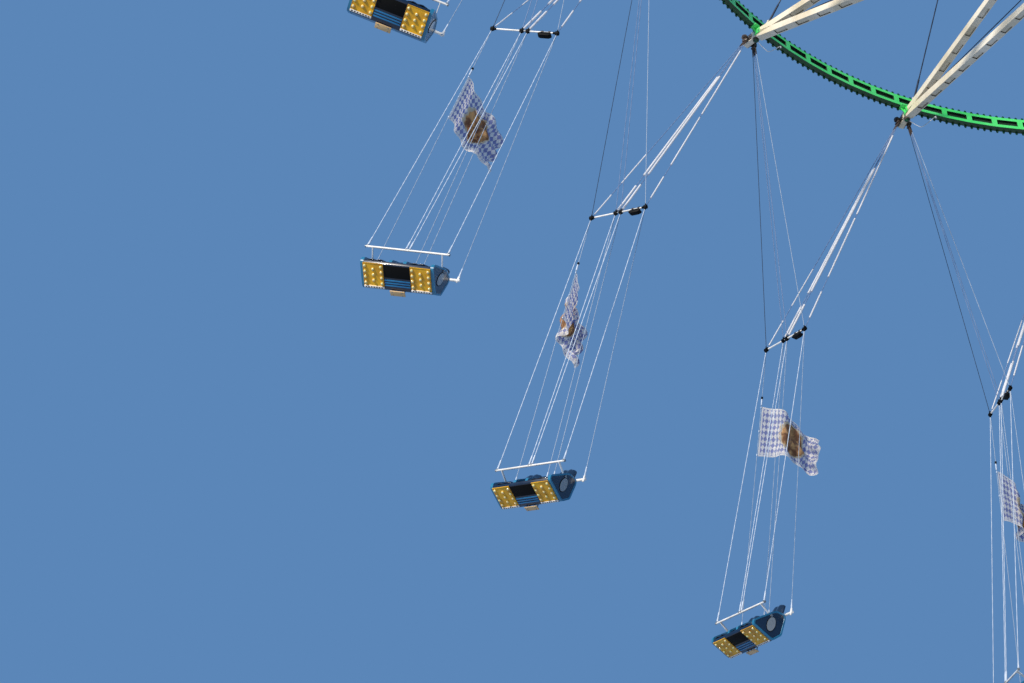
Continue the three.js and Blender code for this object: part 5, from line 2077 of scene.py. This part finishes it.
# %% Finishes of the solids that stay
KEPT = (
    ("mast_side", ZINC),
    ("mast_brace", ZINC),
    ("mast_head", GREY_ENAMEL),
    ("base_cross", GREY_ENAMEL),
    ("winch_housing", GREY_ENAMEL),
    ("carriage_sleeve", GREY_ENAMEL),
    ("slew_motor", GREY_ENAMEL),
    ("turning_cage", CREAM_ENAMEL),
)
for name, node in frame["nodes"].items():
    for start, finish in KEPT:
        if name.startswith(start):
            node.data.materials.clear()
            node.data.materials.append(finish)

# %% [markdown]
# The camera stands where the photograph was taken from: at eye height in front of the ride, looking
# steeply up with a long lens, a little to the left and slightly tilted. Turning a yaw, a pitch and a
# roll into the camera's three axes is plain vector work.

# %% Camera
CAMERA_PLACE = Vector((0, -17.127, 0.825))
YAW = math.radians(-16.4)
PITCH = math.radians(47.77)
ROLL = -0.07
LENS_MM = 140.625
SENSOR_MM = 36
FARTHEST = 300
forward = Vector(
    (math.sin(YAW) * math.cos(PITCH), math.cos(YAW) * math.cos(PITCH), math.sin(PITCH))
)
level_right = Vector((math.cos(YAW), -math.sin(YAW), 0))
level_up = level_right.cross(forward)
right = level_right * math.cos(ROLL) + level_up * math.sin(ROLL)
up = level_up * math.cos(ROLL) - level_right * math.sin(ROLL)
camera_data = bpy.data.cameras.new("camera")
camera_data.lens = LENS_MM
camera_data.sensor_width = SENSOR_MM
camera_data.clip_end = FARTHEST
camera = bpy.data.objects.new("camera", camera_data)
camera.matrix_world = Matrix((right, up, -forward)).transposed().to_4x4()
camera.location = CAMERA_PLACE
bpy.context.scene.collection.objects.link(camera)
bpy.context.scene.camera = camera

# %% [markdown]
# The light is a studio's: one soft source from the camera's side, a little to its left, a weak warm
# one from below, as a pale floor throws it back, and an even blue-grey surround, which is also a
# plain backdrop that white ropes show against. The floor is plain and pale, and lies a millimetre
# under the ride, so that the two don't share a plane.

# %% Floor and light
FLOOR_HALF = 150
FLOOR_DROP = 0.001


def add_sun(name, direction, strength, softness_degrees, colour):
    data = bpy.data.lights.new(name, "SUN")
    data.energy = strength
    data.angle = math.radians(softness_degrees)
    data.color = linear(colour)[:3]
    lamp = bpy.data.objects.new(name, data)
    lamp.rotation_euler = Vector(direction).to_track_quat("Z", "Y").to_euler()
    bpy.context.scene.collection.objects.link(lamp)


add_sun("key_light", (-0.28, -0.92, 0.26), 4.4, 6, "#fff4e4")
add_sun("warm_fill_light", (0.35, -0.6, -0.7), 0.7, 60, "#ffdcb0")
floor_mesh = bpy.data.meshes.new("floor")
floor_bm = bmesh.new()
bmesh.ops.create_grid(floor_bm, x_segments=1, y_segments=1, size=FLOOR_HALF)
floor_bm.to_mesh(floor_mesh)
floor_bm.free()
floor_finish, floor_tree, floor_shader, floor_place = start_finish("pale_floor")
floor_cloud = add_node(floor_tree, "ShaderNodeTexNoise", {"Vector": floor_place, "Scale": 0.2})
vary(floor_tree, floor_shader, floor_cloud.outputs["Fac"], "#d3d2ce", "#dcdbd7", 0.7, 0.8)
floor_mesh.materials.append(floor_finish)
floor = bpy.data.objects.new("floor", floor_mesh)
floor.location.z = -FLOOR_DROP
bpy.context.scene.collection.objects.link(floor)

world = bpy.data.worlds.new("surround")
world.use_nodes = True
bpy.context.scene.world = world
surround = world.node_tree.nodes["Background"]
surround.inputs["Color"].default_value = linear("#5b86b8")
surround.inputs["Strength"].default_value = 1.0
bpy.context.scene.view_settings.view_transform = "Standard"
